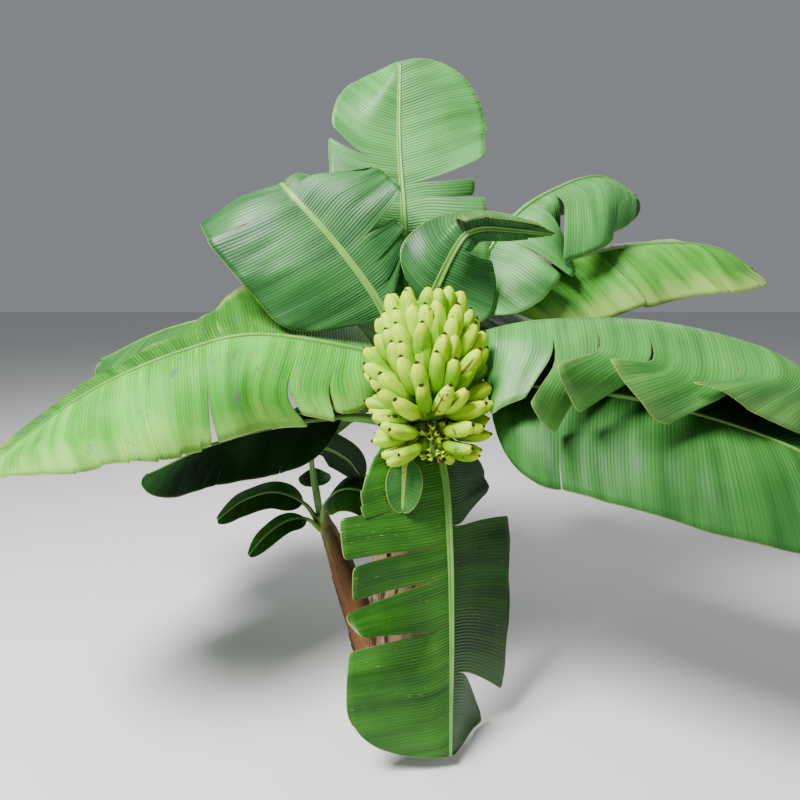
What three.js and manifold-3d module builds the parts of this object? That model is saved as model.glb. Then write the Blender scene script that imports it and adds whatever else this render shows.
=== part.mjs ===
// A young banana plant in fruit, rooted in the ground, in millimetres with +Z up.
// The origin is the middle of the flat cut under the pseudostem, and the bunch hangs towards -Y.
// Every leaf follows one rule: a midrib on a smooth curve, and two halves of blade that are torn
// along their veins into lobes. Each lobe hangs, swings and curls by angles of its own.

import * as THREE from 'three';
import { mergeVertices } from 'three/addons/utils/BufferGeometryUtils.js';
import Module from 'manifold-3d';

const wasm = await Module();
wasm.setup();

// Driving dimensions: lengths in millimetres, angles in degrees unless a line says radians

const CLEARANCE = 0.3;
const CURVE_DIVISIONS = 240;
const FRAME_SAMPLES = 120;

const BLADE_THICKNESS = 12;
const SMALL_LEAF_SLIM = 0.6;
const VEIN_STEPS = 3;
const PLAIN_VEIN_STEPS = 2;
const LOBE_LENGTH_PER_STEP = 210;
const MIN_LOBE_ROWS = 2;
const SLIT_AT_RIB = 3;
const SLIT_ANGLE = 0.9;
const NARROWEST_PART = 0.05;
const VEIN_LEAN_GAIN = 12;
const VEIN_BOW = 12;
const LOBE_FADE = 0.35;

const RIB_SIDES = 5;
const RIB_STEPS = 6;
const SMALL_RIB_STEPS = 5;
const RIB_BASE_RADIUS = 13;
const RIB_TIP_RADIUS = 5;
const RIB_DROP = 0.35;
const STALK_DROP = 0.2;
const PETIOLE_SIDES = 5;
const PETIOLE_STEPS = 3;
const PETIOLE_FOOT_RADIUS = 25;
const PETIOLE_HEAD_RADIUS = 14;
const SMALL_STALK_RADIUS = 15;

const GROUND_BLOCK = 1000;
const STEM_SIDES = 14;
const STEM_STEPS = 8;
const STEM_AXIS = [[0, 0, 0], [4, 6, 350], [2, 14, 700], [0, 8, 1075]];
const STEM_RADII = [[0, 128], [0.05, 114], [0.14, 104], [0.5, 88], [0.85, 72], [1, 50]];

const PEDUNCLE_AXIS = [
  [8, -5, 1085], [22, -55, 1190], [42, -145, 1235], [52, -205, 1180], [62, -290, 935], [66, -302, 868],
];
const PEDUNCLE_RADII = [24, 15];
const PEDUNCLE_SIDES = 6;
const PEDUNCLE_STEPS = 8;

// A hand is a crescent that opens backwards, turned a little to one side or the other, with its
// fruit in two rows that take turns round it.
const HAND_COUNT = 8;
const HAND_TOP = [47, -205, 1152];
const HAND_END = [58, -290, 900];
const FRUIT_STEP = 21;
const HAND_TURN = 22.5;
const FRUITS_TOP_HAND = 15;
const FRUITS_LAST_HAND = 13;
const FRUIT_LENGTH = 148;
const FRUIT_RADIUS = 19;
const FRUIT_LAST_SIZE = 0.72;
const FRUIT_LIFTS_RADIANS = [0.9, -0.62];
const ROW_LIFTS_RADIANS = [0.06, -0.06];
const FRONT_LIFT_RADIANS = 0.55;
const FRUIT_BEND_RADIANS = 0.66;
const FRUIT_RINGS = 3;
const FRUIT_SIDES = 5;
const NECK_GIRTH = 0.5;
const FACET_GIRTH = 1.2;
const ROW_GAP = 6;
const CUSHION_RADIUS = 46;
const CUSHION_THICKNESS = 14;
const CUSHION_HEIGHT = 30;
const CUSHION_STEPS = 5;

const SUCKER_AXIS = [[-126, 104, 0], [-205, 205, 190], [-262, 262, 330], [-318, 288, 470]];
const SUCKER_RADII = [[0, 54], [0.1, 48], [0.6, 42], [1, 27]];
const SUCKER_SIDES = 10;
const SUCKER_STEPS = 6;

const LEAF_GREEN = 0x5f9a55;
const PALE_GREEN = 0x86b85a;
const DEEP_GREEN = 0x3f7a3a;
const SHADE_GREEN = 0x2f5f38;
const PETIOLE_GREEN = 0x9dbf6a;
const STEM_BROWN = 0x8a6f48;
const FRUIT_GREEN = 0xafcd41;

// One lobe of blade, from the end of the last lobe to the share of the blade length named here. The
// tear past it starts at a share of the half's width, and its own angles and size act from there out.
function lobe(to, shape = {}) {
  return { to, hang: 0, twist: 0, swing: 0, fan: 0, curl: 0, size: 1, tear: 0.12, ...shape };
}

// One half of a blade: its angle to the level at the rib and at the margin, and its lobes. The bend
// is the share of the half's width over which it turns from the one angle to the other.
function half(root, edge, ...lobes) {
  return { root, edge, bend: 1, lobes };
}

const LEAVES = [
  {
    name: 'leaf_back_upright', azimuth: 90, width: 520, tip: 0.62, lean: [0, 12], color: LEAF_GREEN,
    rib: [[0, 40, 1000], [-2, 75, 1230], [-12, 120, 1513], [-27, 170, 1745], [-25, 205, 1985]],
    left: half(8, 0, lobe(0.61, { swing: 16, size: 0.92, tear: 0.35 }),
      lobe(1, { hang: -42, twist: -55, swing: 18, fan: -10, size: 0.92 })),
    right: half(8, 0, lobe(0.44, { hang: 4, swing: -20, fan: -3, tear: 0.15 }),
      lobe(0.50, { hang: -5, twist: 5, swing: -16, size: 0.88, tear: 0.1 }),
      lobe(1, { swing: 4, size: 1.07 })),
  },
  {
    name: 'leaf_upper_left', azimuth: 180, width: 570, roll: [85, 60], color: LEAF_GREEN,
    rib: [[-20, 10, 1030], [-65, -10, 1215], [-190, -20, 1400], [-335, 20, 1560], [-390, 110, 1610],
      [-405, 230, 1580], [-410, 330, 1500]],
    left: half(10, -5, lobe(0.52, { tear: 0.5 }), lobe(0.66, { hang: -20, tear: 0.3 }), lobe(1, { hang: -50 })),
    right: half(15, 5, lobe(0.26, { hang: -20, swing: 12, fan: -30, size: 0.66, tear: 0.25 }),
      lobe(0.56, { swing: -25, fan: -26, size: 0.88, tear: 0.1 }),
      lobe(1, { hang: -60, swing: -20, size: 0.8 })),
  },
  {
    name: 'leaf_flag', azimuth: 0, width: 310, tip: 0.36, roll: [-80, -70], color: PALE_GREEN,
    rib: [[25, -20, 1100], [55, -50, 1235], [131, -100, 1408], [185, -115, 1455], [290, -125, 1452],
      [385, -135, 1440]],
    left: half(10, 0, lobe(0.50, { hang: -30, twist: -50, swing: 11, fan: -17, size: 1.05 }),
      lobe(1, { hang: 50, curl: 120, size: 0.6 })),
    right: half(5, -10, lobe(0.42, { hang: -18, twist: -50, swing: -13, size: 1.18 }),
      lobe(1, { hang: -40, size: 0.3 })),
  },
  {
    name: 'leaf_right_high', azimuth: 20, width: 540, tip: 0.66, color: LEAF_GREEN,
    rib: [[40, 40, 1060], [150, 60, 1250], [314, 100, 1501], [482, 150, 1612], [620, 185, 1645],
      [735, 205, 1590]],
    left: half(-10, -50, lobe(1)),
    right: half(-20, -85, lobe(0.30, { hang: 34, twist: -19, swing: -21, size: 0.9, tear: 0.3 }),
      lobe(0.49, { hang: -9, twist: -16, swing: -16, tear: 0.15 }),
      lobe(0.58, { hang: -40, swing: -30, size: 0.6, tear: 0.06 }),
      lobe(1, { twist: -8, swing: -48, fan: 6, size: 1.05 })),
  },
  {
    name: 'leaf_right_middle', azimuth: 8, width: 520, color: PALE_GREEN,
    rib: [[60, 30, 1050], [250, 90, 1265], [510, 150, 1384], [775, 190, 1439], [1000, 205, 1430],
      [1150, 220, 1360]],
    left: half(15, 0, lobe(1)),
    right: half(-20, -85, lobe(0.41, { swing: 3, tear: 0.1 }),
      lobe(0.85, { hang: 12, twist: 18, swing: 2, tear: 0.5 }), lobe(1, { hang: 25 })),
  },
  {
    name: 'leaf_right_broad', azimuth: -18, width: 640, base: 0.10, color: PALE_GREEN,
    rib: [[60, -20, 1080], [190, -75, 1160], [374, -140, 1207], [636, -220, 1209], [900, -300, 1140],
      [1080, -350, 1010]],
    left: half(-10, -75, lobe(0.4, { tear: 0.6 }), lobe(1)),
    right: {
      ...half(30, -40, lobe(0.22, { hang: -18, swing: -24, fan: -20, size: 1.02, tear: 0.42 }),
        lobe(0.33, { hang: -4, twist: -28, swing: -35, fan: -6, size: 1.31, tear: 0.38 }),
        lobe(0.45, { hang: 4, twist: -38, swing: -55, fan: -10, size: 1.27, tear: 0.42 }),
        lobe(0.64, { hang: 9, twist: -35, swing: -61, fan: -6, size: 1.28, tear: 0.42 }),
        lobe(1, { hang: -8, twist: -24, swing: -66, fan: 13, size: 1.05 })),
      bend: 0.35,
    },
  },
  {
    name: 'leaf_right_low', azimuth: -25, width: 640, color: DEEP_GREEN,
    rib: [[60, -50, 980], [230, -130, 1030], [504, -250, 1025], [705, -350, 994], [900, -430, 930],
      [1050, -490, 840]],
    left: half(10, 0, lobe(0.5, { tear: 0.6 }), lobe(1)),
    right: half(-15, -68, lobe(0.22, { hang: -5, tear: 0.75 }), lobe(1)),
  },
  {
    name: 'leaf_left_broad', azimuth: 192, width: 540, base: 0.10, color: PALE_GREEN,
    rib: [[-50, -10, 1080], [-100, -25, 1107], [-410, -80, 1166], [-608, -130, 1134], [-850, -220, 1030],
      [-1080, -310, 860]],
    left: half(-5, -85, lobe(0.10, { hang: 8, swing: -30, fan: -6, size: 0.92, tear: 0.5 }),
      lobe(0.20, { hang: 2, twist: -6, swing: -44, fan: -8, size: 1.02, tear: 0.55 }),
      lobe(0.44, { hang: -6, twist: 12, swing: -36, fan: 24, size: 1.2, tear: 0.6 }),
      lobe(1, { hang: 38, twist: 14, swing: -30, fan: -24, size: 1.22 })),
    right: half(26, 10, lobe(0.22, { tear: 0.3 }),
      lobe(0.50, { hang: 5, twist: -20, swing: -9, fan: -21, size: 1.09, tear: 0.1 }),
      lobe(1, { hang: -20, swing: -10 })),
  },
  {
    name: 'leaf_left_back', azimuth: 166, width: 420, veinSteps: PLAIN_VEIN_STEPS, color: LEAF_GREEN,
    rib: [[-49, 27, 1049], [-250, 80, 1150], [-531, 160, 1205], [-800, 220, 1165], [-1080, 290, 1050]],
    left: half(-20, -60, lobe(0.5, { tear: 0.7 }), lobe(1)),
    right: half(10, -10, lobe(1)),
  },
  {
    name: 'leaf_front', azimuth: -88, width: 640, tip: 0.74, lean: [0, 12], color: DEEP_GREEN,
    rib: [[15, -60, 960], [50, -140, 930], [96, -215, 800], [112, -280, 600], [116, -335, 350],
      [114, -370, 150], [114, -385, 45]],
    left: half(-34, -26, lobe(0.33, { hang: -10, twist: -3, swing: -5, fan: -28, size: 0.81, tear: 0.05 }),
      lobe(0.76, { fan: 14, size: 0.87, tear: 0.08 }), lobe(1, { hang: -16, swing: 11, fan: -22, size: 0.86 })),
    right: half(14, 6, lobe(0.25, { swing: -4, size: 0.82, tear: 0.35 }),
      lobe(0.38, { hang: 6, swing: -12, tear: 0.06 }), lobe(0.47, { swing: -10, size: 0.95, tear: 0.1 }),
      lobe(0.61, { hang: 14, twist: 9, swing: -17, fan: -12, tear: 0.08 }),
      lobe(1, { hang: -20, swing: -15, fan: -9, size: 0.92 })),
  },
  {
    name: 'leaf_low_left', azimuth: 165, width: 400, veinSteps: PLAIN_VEIN_STEPS, color: SHADE_GREEN,
    rib: [[-60, 20, 890], [-210, 80, 885], [-450, 150, 835], [-700, 210, 750], [-930, 260, 640]],
    left: half(-20, -60, lobe(0.5, { tear: 0.7 }), lobe(1)),
    right: half(10, -10, lobe(1)),
  },
  {
    name: 'leaf_low_back', azimuth: 122, width: 420, veinSteps: PLAIN_VEIN_STEPS, color: SHADE_GREEN,
    rib: [[-50, 50, 860], [-130, 180, 960], [-270, 400, 940], [-400, 620, 800], [-480, 760, 640]],
    left: half(-10, -40, lobe(0.5, { tear: 0.6 }), lobe(1)),
    right: half(-10, -40, lobe(1)),
  },
  {
    name: 'leaf_back_right', azimuth: 57, width: 480, veinSteps: PLAIN_VEIN_STEPS, color: LEAF_GREEN,
    rib: [[40, 60, 1040], [130, 200, 1190], [300, 460, 1250], [470, 730, 1130], [560, 890, 950]],
    left: half(-10, -50, lobe(0.4, { tear: 0.6 }), lobe(1)),
    right: half(-10, -50, lobe(1)),
  },
  {
    name: 'leaf_back_left', azimuth: 103, width: 480, veinSteps: PLAIN_VEIN_STEPS, color: LEAF_GREEN,
    rib: [[-20, 70, 1060], [-60, 240, 1230], [-160, 520, 1280], [-240, 800, 1130], [-290, 960, 920]],
    left: half(-10, -50, lobe(0.4, { tear: 0.6 }), lobe(1)),
    right: half(-10, -50, lobe(1)),
  },
];

// Small leaves, each one node with its own stalk.
const SMALL_LEAVES = [
  {
    name: 'bract_leaf', azimuth: -92, width: 110, base: 0.5, tip: 0.5, bladeAt: 2, color: PALE_GREEN,
    rib: [[-5, -60, 1000], [-38, -185, 935], [-14, -285, 856], [-18, -315, 725]],
    left: half(20, 30, lobe(1)), right: half(20, 30, lobe(1)),
  },
  {
    name: 'sucker_leaf_upright', azimuth: 60, width: 150, color: SHADE_GREEN,
    rib: [[-318, 285, 440], [-345, 300, 610], [-345, 300, 700], [-300, 290, 725], [-215, 260, 690],
      [-170, 240, 640]],
    bladeAt: 2, left: half(30, 20, lobe(1)), right: half(-20, -40, lobe(1)),
  },
  {
    name: 'sucker_leaf_broad', azimuth: -20, width: 190, color: SHADE_GREEN,
    rib: [[-310, 275, 430], [-300, 250, 520], [-240, 215, 590], [-160, 180, 600], [-90, 150, 545]],
    left: half(15, 0, lobe(1)), right: half(-15, -50, lobe(1)),
  },
  {
    name: 'sucker_leaf_left', azimuth: 185, width: 150, color: SHADE_GREEN,
    rib: [[-325, 285, 430], [-380, 270, 520], [-480, 250, 570], [-590, 230, 545], [-680, 215, 480]],
    left: half(-10, -45, lobe(1)), right: half(15, 0, lobe(1)),
  },
  {
    name: 'sucker_leaf_low', azimuth: 215, width: 110, color: DEEP_GREEN,
    rib: [[-320, 275, 415], [-365, 240, 470], [-430, 200, 480], [-500, 160, 440], [-550, 130, 385]],
    left: half(-10, -45, lobe(1)), right: half(15, 0, lobe(1)),
  },
  {
    name: 'sucker_leaf_back', azimuth: 100, width: 150, color: SHADE_GREEN,
    rib: [[-322, 300, 430], [-345, 370, 550], [-370, 470, 590], [-390, 570, 540], [-400, 640, 470]],
    left: half(-10, -45, lobe(1)), right: half(-10, -45, lobe(1)),
  },
];

// Shared curves and solids

const radians = THREE.MathUtils.degToRad;
const mix = THREE.MathUtils.lerp;

function curveThrough(points) {
  return new THREE.CatmullRomCurve3(points.map((p) => new THREE.Vector3(...p)), false, 'catmullrom', 0.5);
}

// Reads a list of [share, value] rows as a smooth run of values.
function profile(rows, share) {
  let index = 1;
  while (index < rows.length - 1 && rows[index][0] < share) {
    index += 1;
  }
  const [from, low] = rows[index - 1];
  const [to, high] = rows[index];
  return mix(low, high, THREE.MathUtils.smoothstep(share, from, to));
}

// A closed geometry becomes a solid once its doubled vertices are merged.
function toSolid(geometry) {
  geometry.deleteAttribute('normal');
  geometry.deleteAttribute('uv');
  const merged = mergeVertices(geometry, 1e-4);
  return new wasm.Manifold(new wasm.Mesh({
    numProp: 3,
    vertProperties: new Float32Array(merged.attributes.position.array),
    triVerts: new Uint32Array(merged.index.array),
  }));
}

// Moves every vertex of a geometry to where the function puts it.
function mapVertices(geometry, place) {
  const position = geometry.attributes.position;
  const vertex = new THREE.Vector3();
  for (let i = 0; i < position.count; i += 1) {
    vertex.fromBufferAttribute(position, i);
    const moved = place(vertex);
    position.setXYZ(i, moved.x, moved.y, moved.z);
  }
  return geometry;
}

// Moves the outer border of a sheet of points outwards in the sheet's own surface.
function spread(grid, distance) {
  const rim = grid[0].length - 1;
  const outwards = (point, inner) => point.addScaledVector(point.clone().sub(inner).normalize(), distance);
  for (const row of grid) {
    outwards(row[rim], row[rim - 1]);
  }
  const first = grid[0];
  const last = grid[grid.length - 1];
  for (let column = 0; column <= rim; column += 1) {
    outwards(first[column], grid[1][column]);
    outwards(last[column], grid[grid.length - 2][column]);
  }
}

function largestPiece(solid) {
  const pieces = solid.decompose();
  return pieces.reduce((best, piece) => (piece.volume() > best.volume() ? piece : best));
}

// A frame that follows a curve without turning about it, read at a share of the curve's length.
class Track {
  constructor(points, azimuth) {
    this.curve = curveThrough(points);
    this.curve.arcLengthDivisions = CURVE_DIVISIONS;
    this.length = this.curve.getLength();
    this.sides = [];
    let side = new THREE.Vector3(-Math.sin(radians(azimuth)), Math.cos(radians(azimuth)), 0);
    for (let i = 0; i <= FRAME_SAMPLES; i += 1) {
      const direction = this.curve.getTangentAt(i / FRAME_SAMPLES);
      side = side.clone().addScaledVector(direction, -side.dot(direction)).normalize();
      this.sides.push(side);
    }
  }

  at(share) {
    const clamped = THREE.MathUtils.clamp(share, 0, 1);
    const direction = this.curve.getTangentAt(clamped);
    const side = this.sides[Math.round(clamped * FRAME_SAMPLES)].clone();
    side.addScaledVector(direction, -side.dot(direction)).normalize();
    const normal = direction.clone().cross(side);
    return { point: this.curve.getPointAt(clamped), direction, side, normal };
  }
}

// A tapering limb of round section along a track, from one share of it to another.
function limb(track, from, to, radiusAt, sides, steps, drop = 0) {
  const geometry = new THREE.CylinderGeometry(1, 1, 1, sides, steps);
  return toSolid(mapVertices(geometry, (vertex) => {
    const share = vertex.y + 0.5;
    const frame = track.at(mix(from, to, share));
    const radius = radiusAt(share);
    return frame.point
      .addScaledVector(frame.side, vertex.x * radius)
      .addScaledVector(frame.normal, -vertex.z * radius - drop * radius);
  }));
}

// Leaves

// A leaf's base and tip are shares of the blade where it starts to narrow. Its lean is the angle of
// its veins at both ends, its roll the turn of the blade about the midrib, and bladeAt the rib point
// where the stalk ends.
const LEAF_DEFAULTS = {
  base: 0.22, tip: 0.55, lean: [0, 55], roll: [0, 0], bladeAt: 1, slim: 1, veinSteps: VEIN_STEPS,
};

class Leaf {
  constructor(row) {
    Object.assign(this, LEAF_DEFAULTS, row);
    this.track = new Track(this.rib, this.azimuth);
    const lengths = this.track.curve.getLengths(CURVE_DIVISIONS);
    const index = Math.round((this.bladeAt / (this.rib.length - 1)) * CURVE_DIVISIONS);
    this.bladeStart = lengths[index] / this.track.length;
    this.bladeLength = this.track.length * (1 - this.bladeStart);
  }

  frame(share) {
    const frame = this.track.at(mix(this.bladeStart, 1, share));
    const roll = radians(mix(this.roll[0], this.roll[1], THREE.MathUtils.clamp(share, 0, 1)));
    const { side, normal } = frame;
    frame.normal = normal.clone().multiplyScalar(Math.cos(roll)).addScaledVector(side, Math.sin(roll));
    frame.side = side.clone().multiplyScalar(Math.cos(roll)).addScaledVector(normal, -Math.sin(roll));
    return frame;
  }

  // The blade is round at its base, even along its middle and drawn in at its tip.
  halfWidth(share) {
    let part = 1;
    if (share < this.base) {
      part = Math.sqrt(Math.max(0, 1 - (1 - share / this.base) ** 2.2));
    }
    if (share > this.tip) {
      const past = (share - this.tip) / (1 - this.tip);
      part = Math.min(part, Math.max(0, 1 - past ** 2.3) ** (1 / 1.5));
    }
    return (this.width / 2) * Math.max(part, NARROWEST_PART);
  }

  // Points along one vein, from the midrib to the margin. Across is the vein's place in its lobe.
  vein(sign, index, from, to, across) {
    const side = sign > 0 ? this.left : this.right;
    const piece = side.lobes[index];
    const share = mix(from, to, across);
    const centred = 2 * across - 1;
    const frame = this.frame(share);
    const reach = this.halfWidth(share);
    const points = [frame.point];
    const opens = index ? side.lobes[index - 1].tear : 0;
    const closes = index < side.lobes.length - 1 ? piece.tear : 0;
    const opening = mix(opens, closes, across);
    const lean = mix(this.lean[0], this.lean[1], share ** 5) + VEIN_LEAN_GAIN * share - SLIT_ANGLE * centred;
    for (let step = 0; step < this.veinSteps; step += 1) {
      const out = (step + 0.5) / this.veinSteps;
      const own = THREE.MathUtils.smoothstep(out, opening, opening + LOBE_FADE);
      const fold = radians(mix(side.root, side.edge, Math.min(out / side.bend, 1) ** 0.8)
        + own * (piece.hang + piece.twist * centred + piece.curl * out * out));
      const sweep = radians(lean + VEIN_BOW * out + own * (piece.swing + piece.fan * centred));
      const level = frame.side.clone().multiplyScalar(sign * Math.cos(fold))
        .addScaledVector(frame.normal, Math.sin(fold));
      const heading = level.multiplyScalar(Math.cos(sweep))
        .addScaledVector(frame.direction, Math.sin(sweep));
      const stretch = out > opening ? 1 + (piece.size - 1) / (1 - opening) : 1;
      points.push(points[step].clone().addScaledVector(heading, (reach * stretch) / this.veinSteps));
    }
    return points;
  }

  // One lobe as a bent board between its first and its last vein.
  lobeSolid(sign, index, grow) {
    const side = sign > 0 ? this.left : this.right;
    const piece = side.lobes[index];
    const inset = SLIT_AT_RIB / this.bladeLength;
    const from = (index ? side.lobes[index - 1].to : 0) + inset;
    const to = piece.to - inset;
    const length = (to - from) * this.bladeLength;
    const rows = Math.max(MIN_LOBE_ROWS, Math.ceil(length / LOBE_LENGTH_PER_STEP));
    const grid = [];
    for (let row = 0; row <= rows; row += 1) {
      grid.push(this.vein(sign, index, from, to, row / rows));
    }
    spread(grid, grow);
    const geometry = new THREE.BoxGeometry(1, 1, 1, this.veinSteps, rows, 1);
    const thickness = BLADE_THICKNESS * this.slim + 2 * grow;
    return toSolid(mapVertices(geometry, (vertex) => {
      const column = Math.round((vertex.x + 0.5) * this.veinSteps);
      const row = Math.round((vertex.y + 0.5) * rows);
      const along = grid[Math.min(row + 1, rows)][column].clone().sub(grid[Math.max(row - 1, 0)][column]);
      const outer = grid[row][Math.min(column + 1, this.veinSteps)];
      const inner = grid[row][Math.max(column - 1, 0)];
      const normal = outer.clone().sub(inner).cross(along).normalize();
      return grid[row][column].clone().addScaledVector(normal, vertex.z * thickness);
    }));
  }

  // The torn halves of blade, joined by their midrib.
  blade(grow) {
    const radius = (share) => mix(RIB_BASE_RADIUS, RIB_TIP_RADIUS, share) + grow;
    const rib = limb(this.track, this.bladeStart, 1, radius, RIB_SIDES, RIB_STEPS, RIB_DROP);
    return this.withLobes(rib, grow);
  }

  withLobes(rib, grow) {
    let solid = rib;
    for (const sign of [1, -1]) {
      const side = sign > 0 ? this.left : this.right;
      for (let index = 0; index < side.lobes.length; index += 1) {
        solid = solid.add(this.lobeSolid(sign, index, grow));
      }
    }
    return solid;
  }

  // The leaf stalk stops just short of the blade.
  petiole(grow) {
    const stop = this.bladeStart - CLEARANCE / this.track.length;
    const radius = (share) => mix(PETIOLE_FOOT_RADIUS, PETIOLE_HEAD_RADIUS, share) + grow;
    return limb(this.track, 0, stop, radius, PETIOLE_SIDES, PETIOLE_STEPS, STALK_DROP);
  }

  // A small leaf is one node, with one slim limb for its stalk and its midrib.
  whole(grow) {
    const radius = (share) => mix(SMALL_STALK_RADIUS, RIB_TIP_RADIUS, share) + grow;
    return this.withLobes(limb(this.track, 0, 1, radius, RIB_SIDES, SMALL_RIB_STEPS, STALK_DROP), grow);
  }
}

// Stems

// A stem is cut flat at ground level by a block that lies below it.
function taperedStem(axis, radii, grow, sides, steps) {
  const radius = (share) => profile(radii, share) + grow;
  const stem = limb(new Track(axis, 0), 0, 1, radius, sides, steps);
  const block = new THREE.BoxGeometry(GROUND_BLOCK, GROUND_BLOCK, GROUND_BLOCK);
  block.translate(0, 0, -GROUND_BLOCK / 2);
  return stem.subtract(toSolid(block));
}

function peduncle(grow) {
  const radius = (share) => mix(PEDUNCLE_RADII[0], PEDUNCLE_RADII[1], share) + grow;
  return limb(new Track(PEDUNCLE_AXIS, 0), 0, 1, radius, PEDUNCLE_SIDES, PEDUNCLE_STEPS);
}

// Fruit

// A fruit is a bent sphere whose rings are drawn towards its ends, with a narrower neck.
function fruit(base, outward, upward, length, radius, lift, grow) {
  const geometry = new THREE.SphereGeometry(1, FRUIT_SIDES, FRUIT_RINGS);
  const across = new THREE.Vector3().crossVectors(outward, upward).normalize();
  return toSolid(mapVertices(geometry, (vertex) => {
    const share = (Math.sign(vertex.y) * Math.sqrt(Math.abs(vertex.y)) + 1) / 2;
    const angle = lift + FRUIT_BEND_RADIANS * share;
    const middle = lift + (FRUIT_BEND_RADIANS * share) / 2;
    const spine = outward.clone().multiplyScalar(Math.cos(middle))
      .addScaledVector(upward, Math.sin(middle));
    const normal = upward.clone().multiplyScalar(Math.cos(angle))
      .addScaledVector(outward, -Math.sin(angle));
    const girth = (share < 0.5 ? NECK_GIRTH : 1) * radius * FACET_GIRTH + grow;
    return base.clone()
      .addScaledVector(spine, length * share)
      .addScaledVector(across, vertex.x * girth)
      .addScaledVector(normal, vertex.z * girth);
  }));
}

// One hand: a crescent cushion round the rachis with two rows of fruit that curve up.
function hand(index, grow) {
  const share = index / (HAND_COUNT - 1);
  const top = new THREE.Vector3(...HAND_TOP);
  const end = new THREE.Vector3(...HAND_END);
  const centre = top.clone().lerp(end, share);
  const up = top.clone().sub(end).normalize();
  const front = new THREE.Vector3(0, -1, 0).addScaledVector(up, up.y).normalize();
  const side = new THREE.Vector3().crossVectors(up, front);
  const size = mix(1, FRUIT_LAST_SIZE, share ** 2.5);
  const count = Math.round(mix(FRUITS_TOP_HAND, FRUITS_LAST_HAND, share));
  const facing = (degrees) => front.clone().multiplyScalar(Math.cos(radians(degrees)))
    .addScaledVector(side, Math.sin(radians(degrees)));
  const turn = index % 2 ? HAND_TURN : -HAND_TURN;
  const turnAt = (place) => turn + (place - (count - 1) / 2) * FRUIT_STEP;
  const cushion = new THREE.CylinderGeometry(1, 1, 1, 4, CUSHION_STEPS);
  let solid = toSolid(mapVertices(cushion, (vertex) => {
    const outward = facing(turnAt(mix(-0.3, count - 0.7, vertex.y + 0.5)));
    const ring = CUSHION_RADIUS * size + vertex.x * (CUSHION_THICKNESS + grow);
    return centre.clone().addScaledVector(outward, ring)
      .addScaledVector(up, vertex.z * (CUSHION_HEIGHT / 2 + grow));
  }));
  for (let place = 0; place < count; place += 1) {
    const outward = facing(turnAt(place));
    const row = (place + index) % 2;
    const base = centre.clone().addScaledVector(outward, CUSHION_RADIUS * size)
      .addScaledVector(up, (0.5 - row) * ROW_GAP);
    const inFront = Math.max(0, Math.cos(radians(turnAt(place)))) * Math.sin(Math.PI * share);
    const lift = mix(FRUIT_LIFTS_RADIANS[0], FRUIT_LIFTS_RADIANS[1], share ** 0.75)
      + ROW_LIFTS_RADIANS[row] + FRONT_LIFT_RADIANS * inFront;
    solid = solid.add(fruit(base, outward, up, FRUIT_LENGTH * size, FRUIT_RADIUS * size, lift, grow));
  }
  return solid;
}

// Assembly

const plant = new THREE.Group();
const placed = [];

// Each new node is cut clear of the nodes before it that its box touches.
function addNode(name, build, color, roughness = 0.6) {
  let solid = build(0);
  const box = solid.boundingBox();
  for (const other of placed) {
    const touches = [0, 1, 2].every((axis) => box.min[axis] < other.box.max[axis] + 1
      && box.max[axis] > other.box.min[axis] - 1);
    if (touches) {
      solid = solid.subtract(other.cutter);
    }
  }
  solid = largestPiece(solid);
  placed.push({ box, cutter: build(CLEARANCE) });
  const result = solid.getMesh();
  const geometry = new THREE.BufferGeometry();
  geometry.setAttribute('position', new THREE.BufferAttribute(result.vertProperties, 3));
  geometry.setIndex(new THREE.BufferAttribute(result.triVerts, 1));
  geometry.computeVertexNormals();
  const mesh = new THREE.Mesh(geometry, new THREE.MeshStandardMaterial({ color, roughness, metalness: 0 }));
  mesh.name = name;
  plant.add(mesh);
}

addNode('pseudostem', (grow) => taperedStem(STEM_AXIS, STEM_RADII, grow, STEM_SIDES, STEM_STEPS),
  STEM_BROWN, 0.8);
addNode('peduncle', peduncle, PETIOLE_GREEN);
for (const row of LEAVES) {
  const leaf = new Leaf(row);
  addNode(`${row.name}_blade`, (grow) => leaf.blade(grow), row.color);
  addNode(`${row.name}_petiole`, (grow) => leaf.petiole(grow), PETIOLE_GREEN);
}
addNode('sucker_stem', (grow) => taperedStem(SUCKER_AXIS, SUCKER_RADII, grow, SUCKER_SIDES, SUCKER_STEPS),
  STEM_BROWN, 0.8);
for (const row of SMALL_LEAVES) {
  const leaf = new Leaf({ ...row, veinSteps: PLAIN_VEIN_STEPS, slim: SMALL_LEAF_SLIM });
  addNode(row.name, (grow) => leaf.whole(grow), row.color);
}
for (let index = 0; index < HAND_COUNT; index += 1) {
  addNode(`fruit_hand_${index + 1}`, (grow) => hand(index, grow), FRUIT_GREEN, 0.5);
}

export default plant;
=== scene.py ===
"""Dresses a banana plant in fruit: torn leaf blades on channelled stalks, a bunch of green fruit,
a stem of rolled sheaths and a side sucker. All lengths are in metres."""
import logging
import math
import random
from collections.abc import Callable, Sequence
from dataclasses import dataclass, field
from enum import Enum
from typing import Any

import bmesh
import bpy
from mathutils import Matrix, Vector, noise


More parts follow.
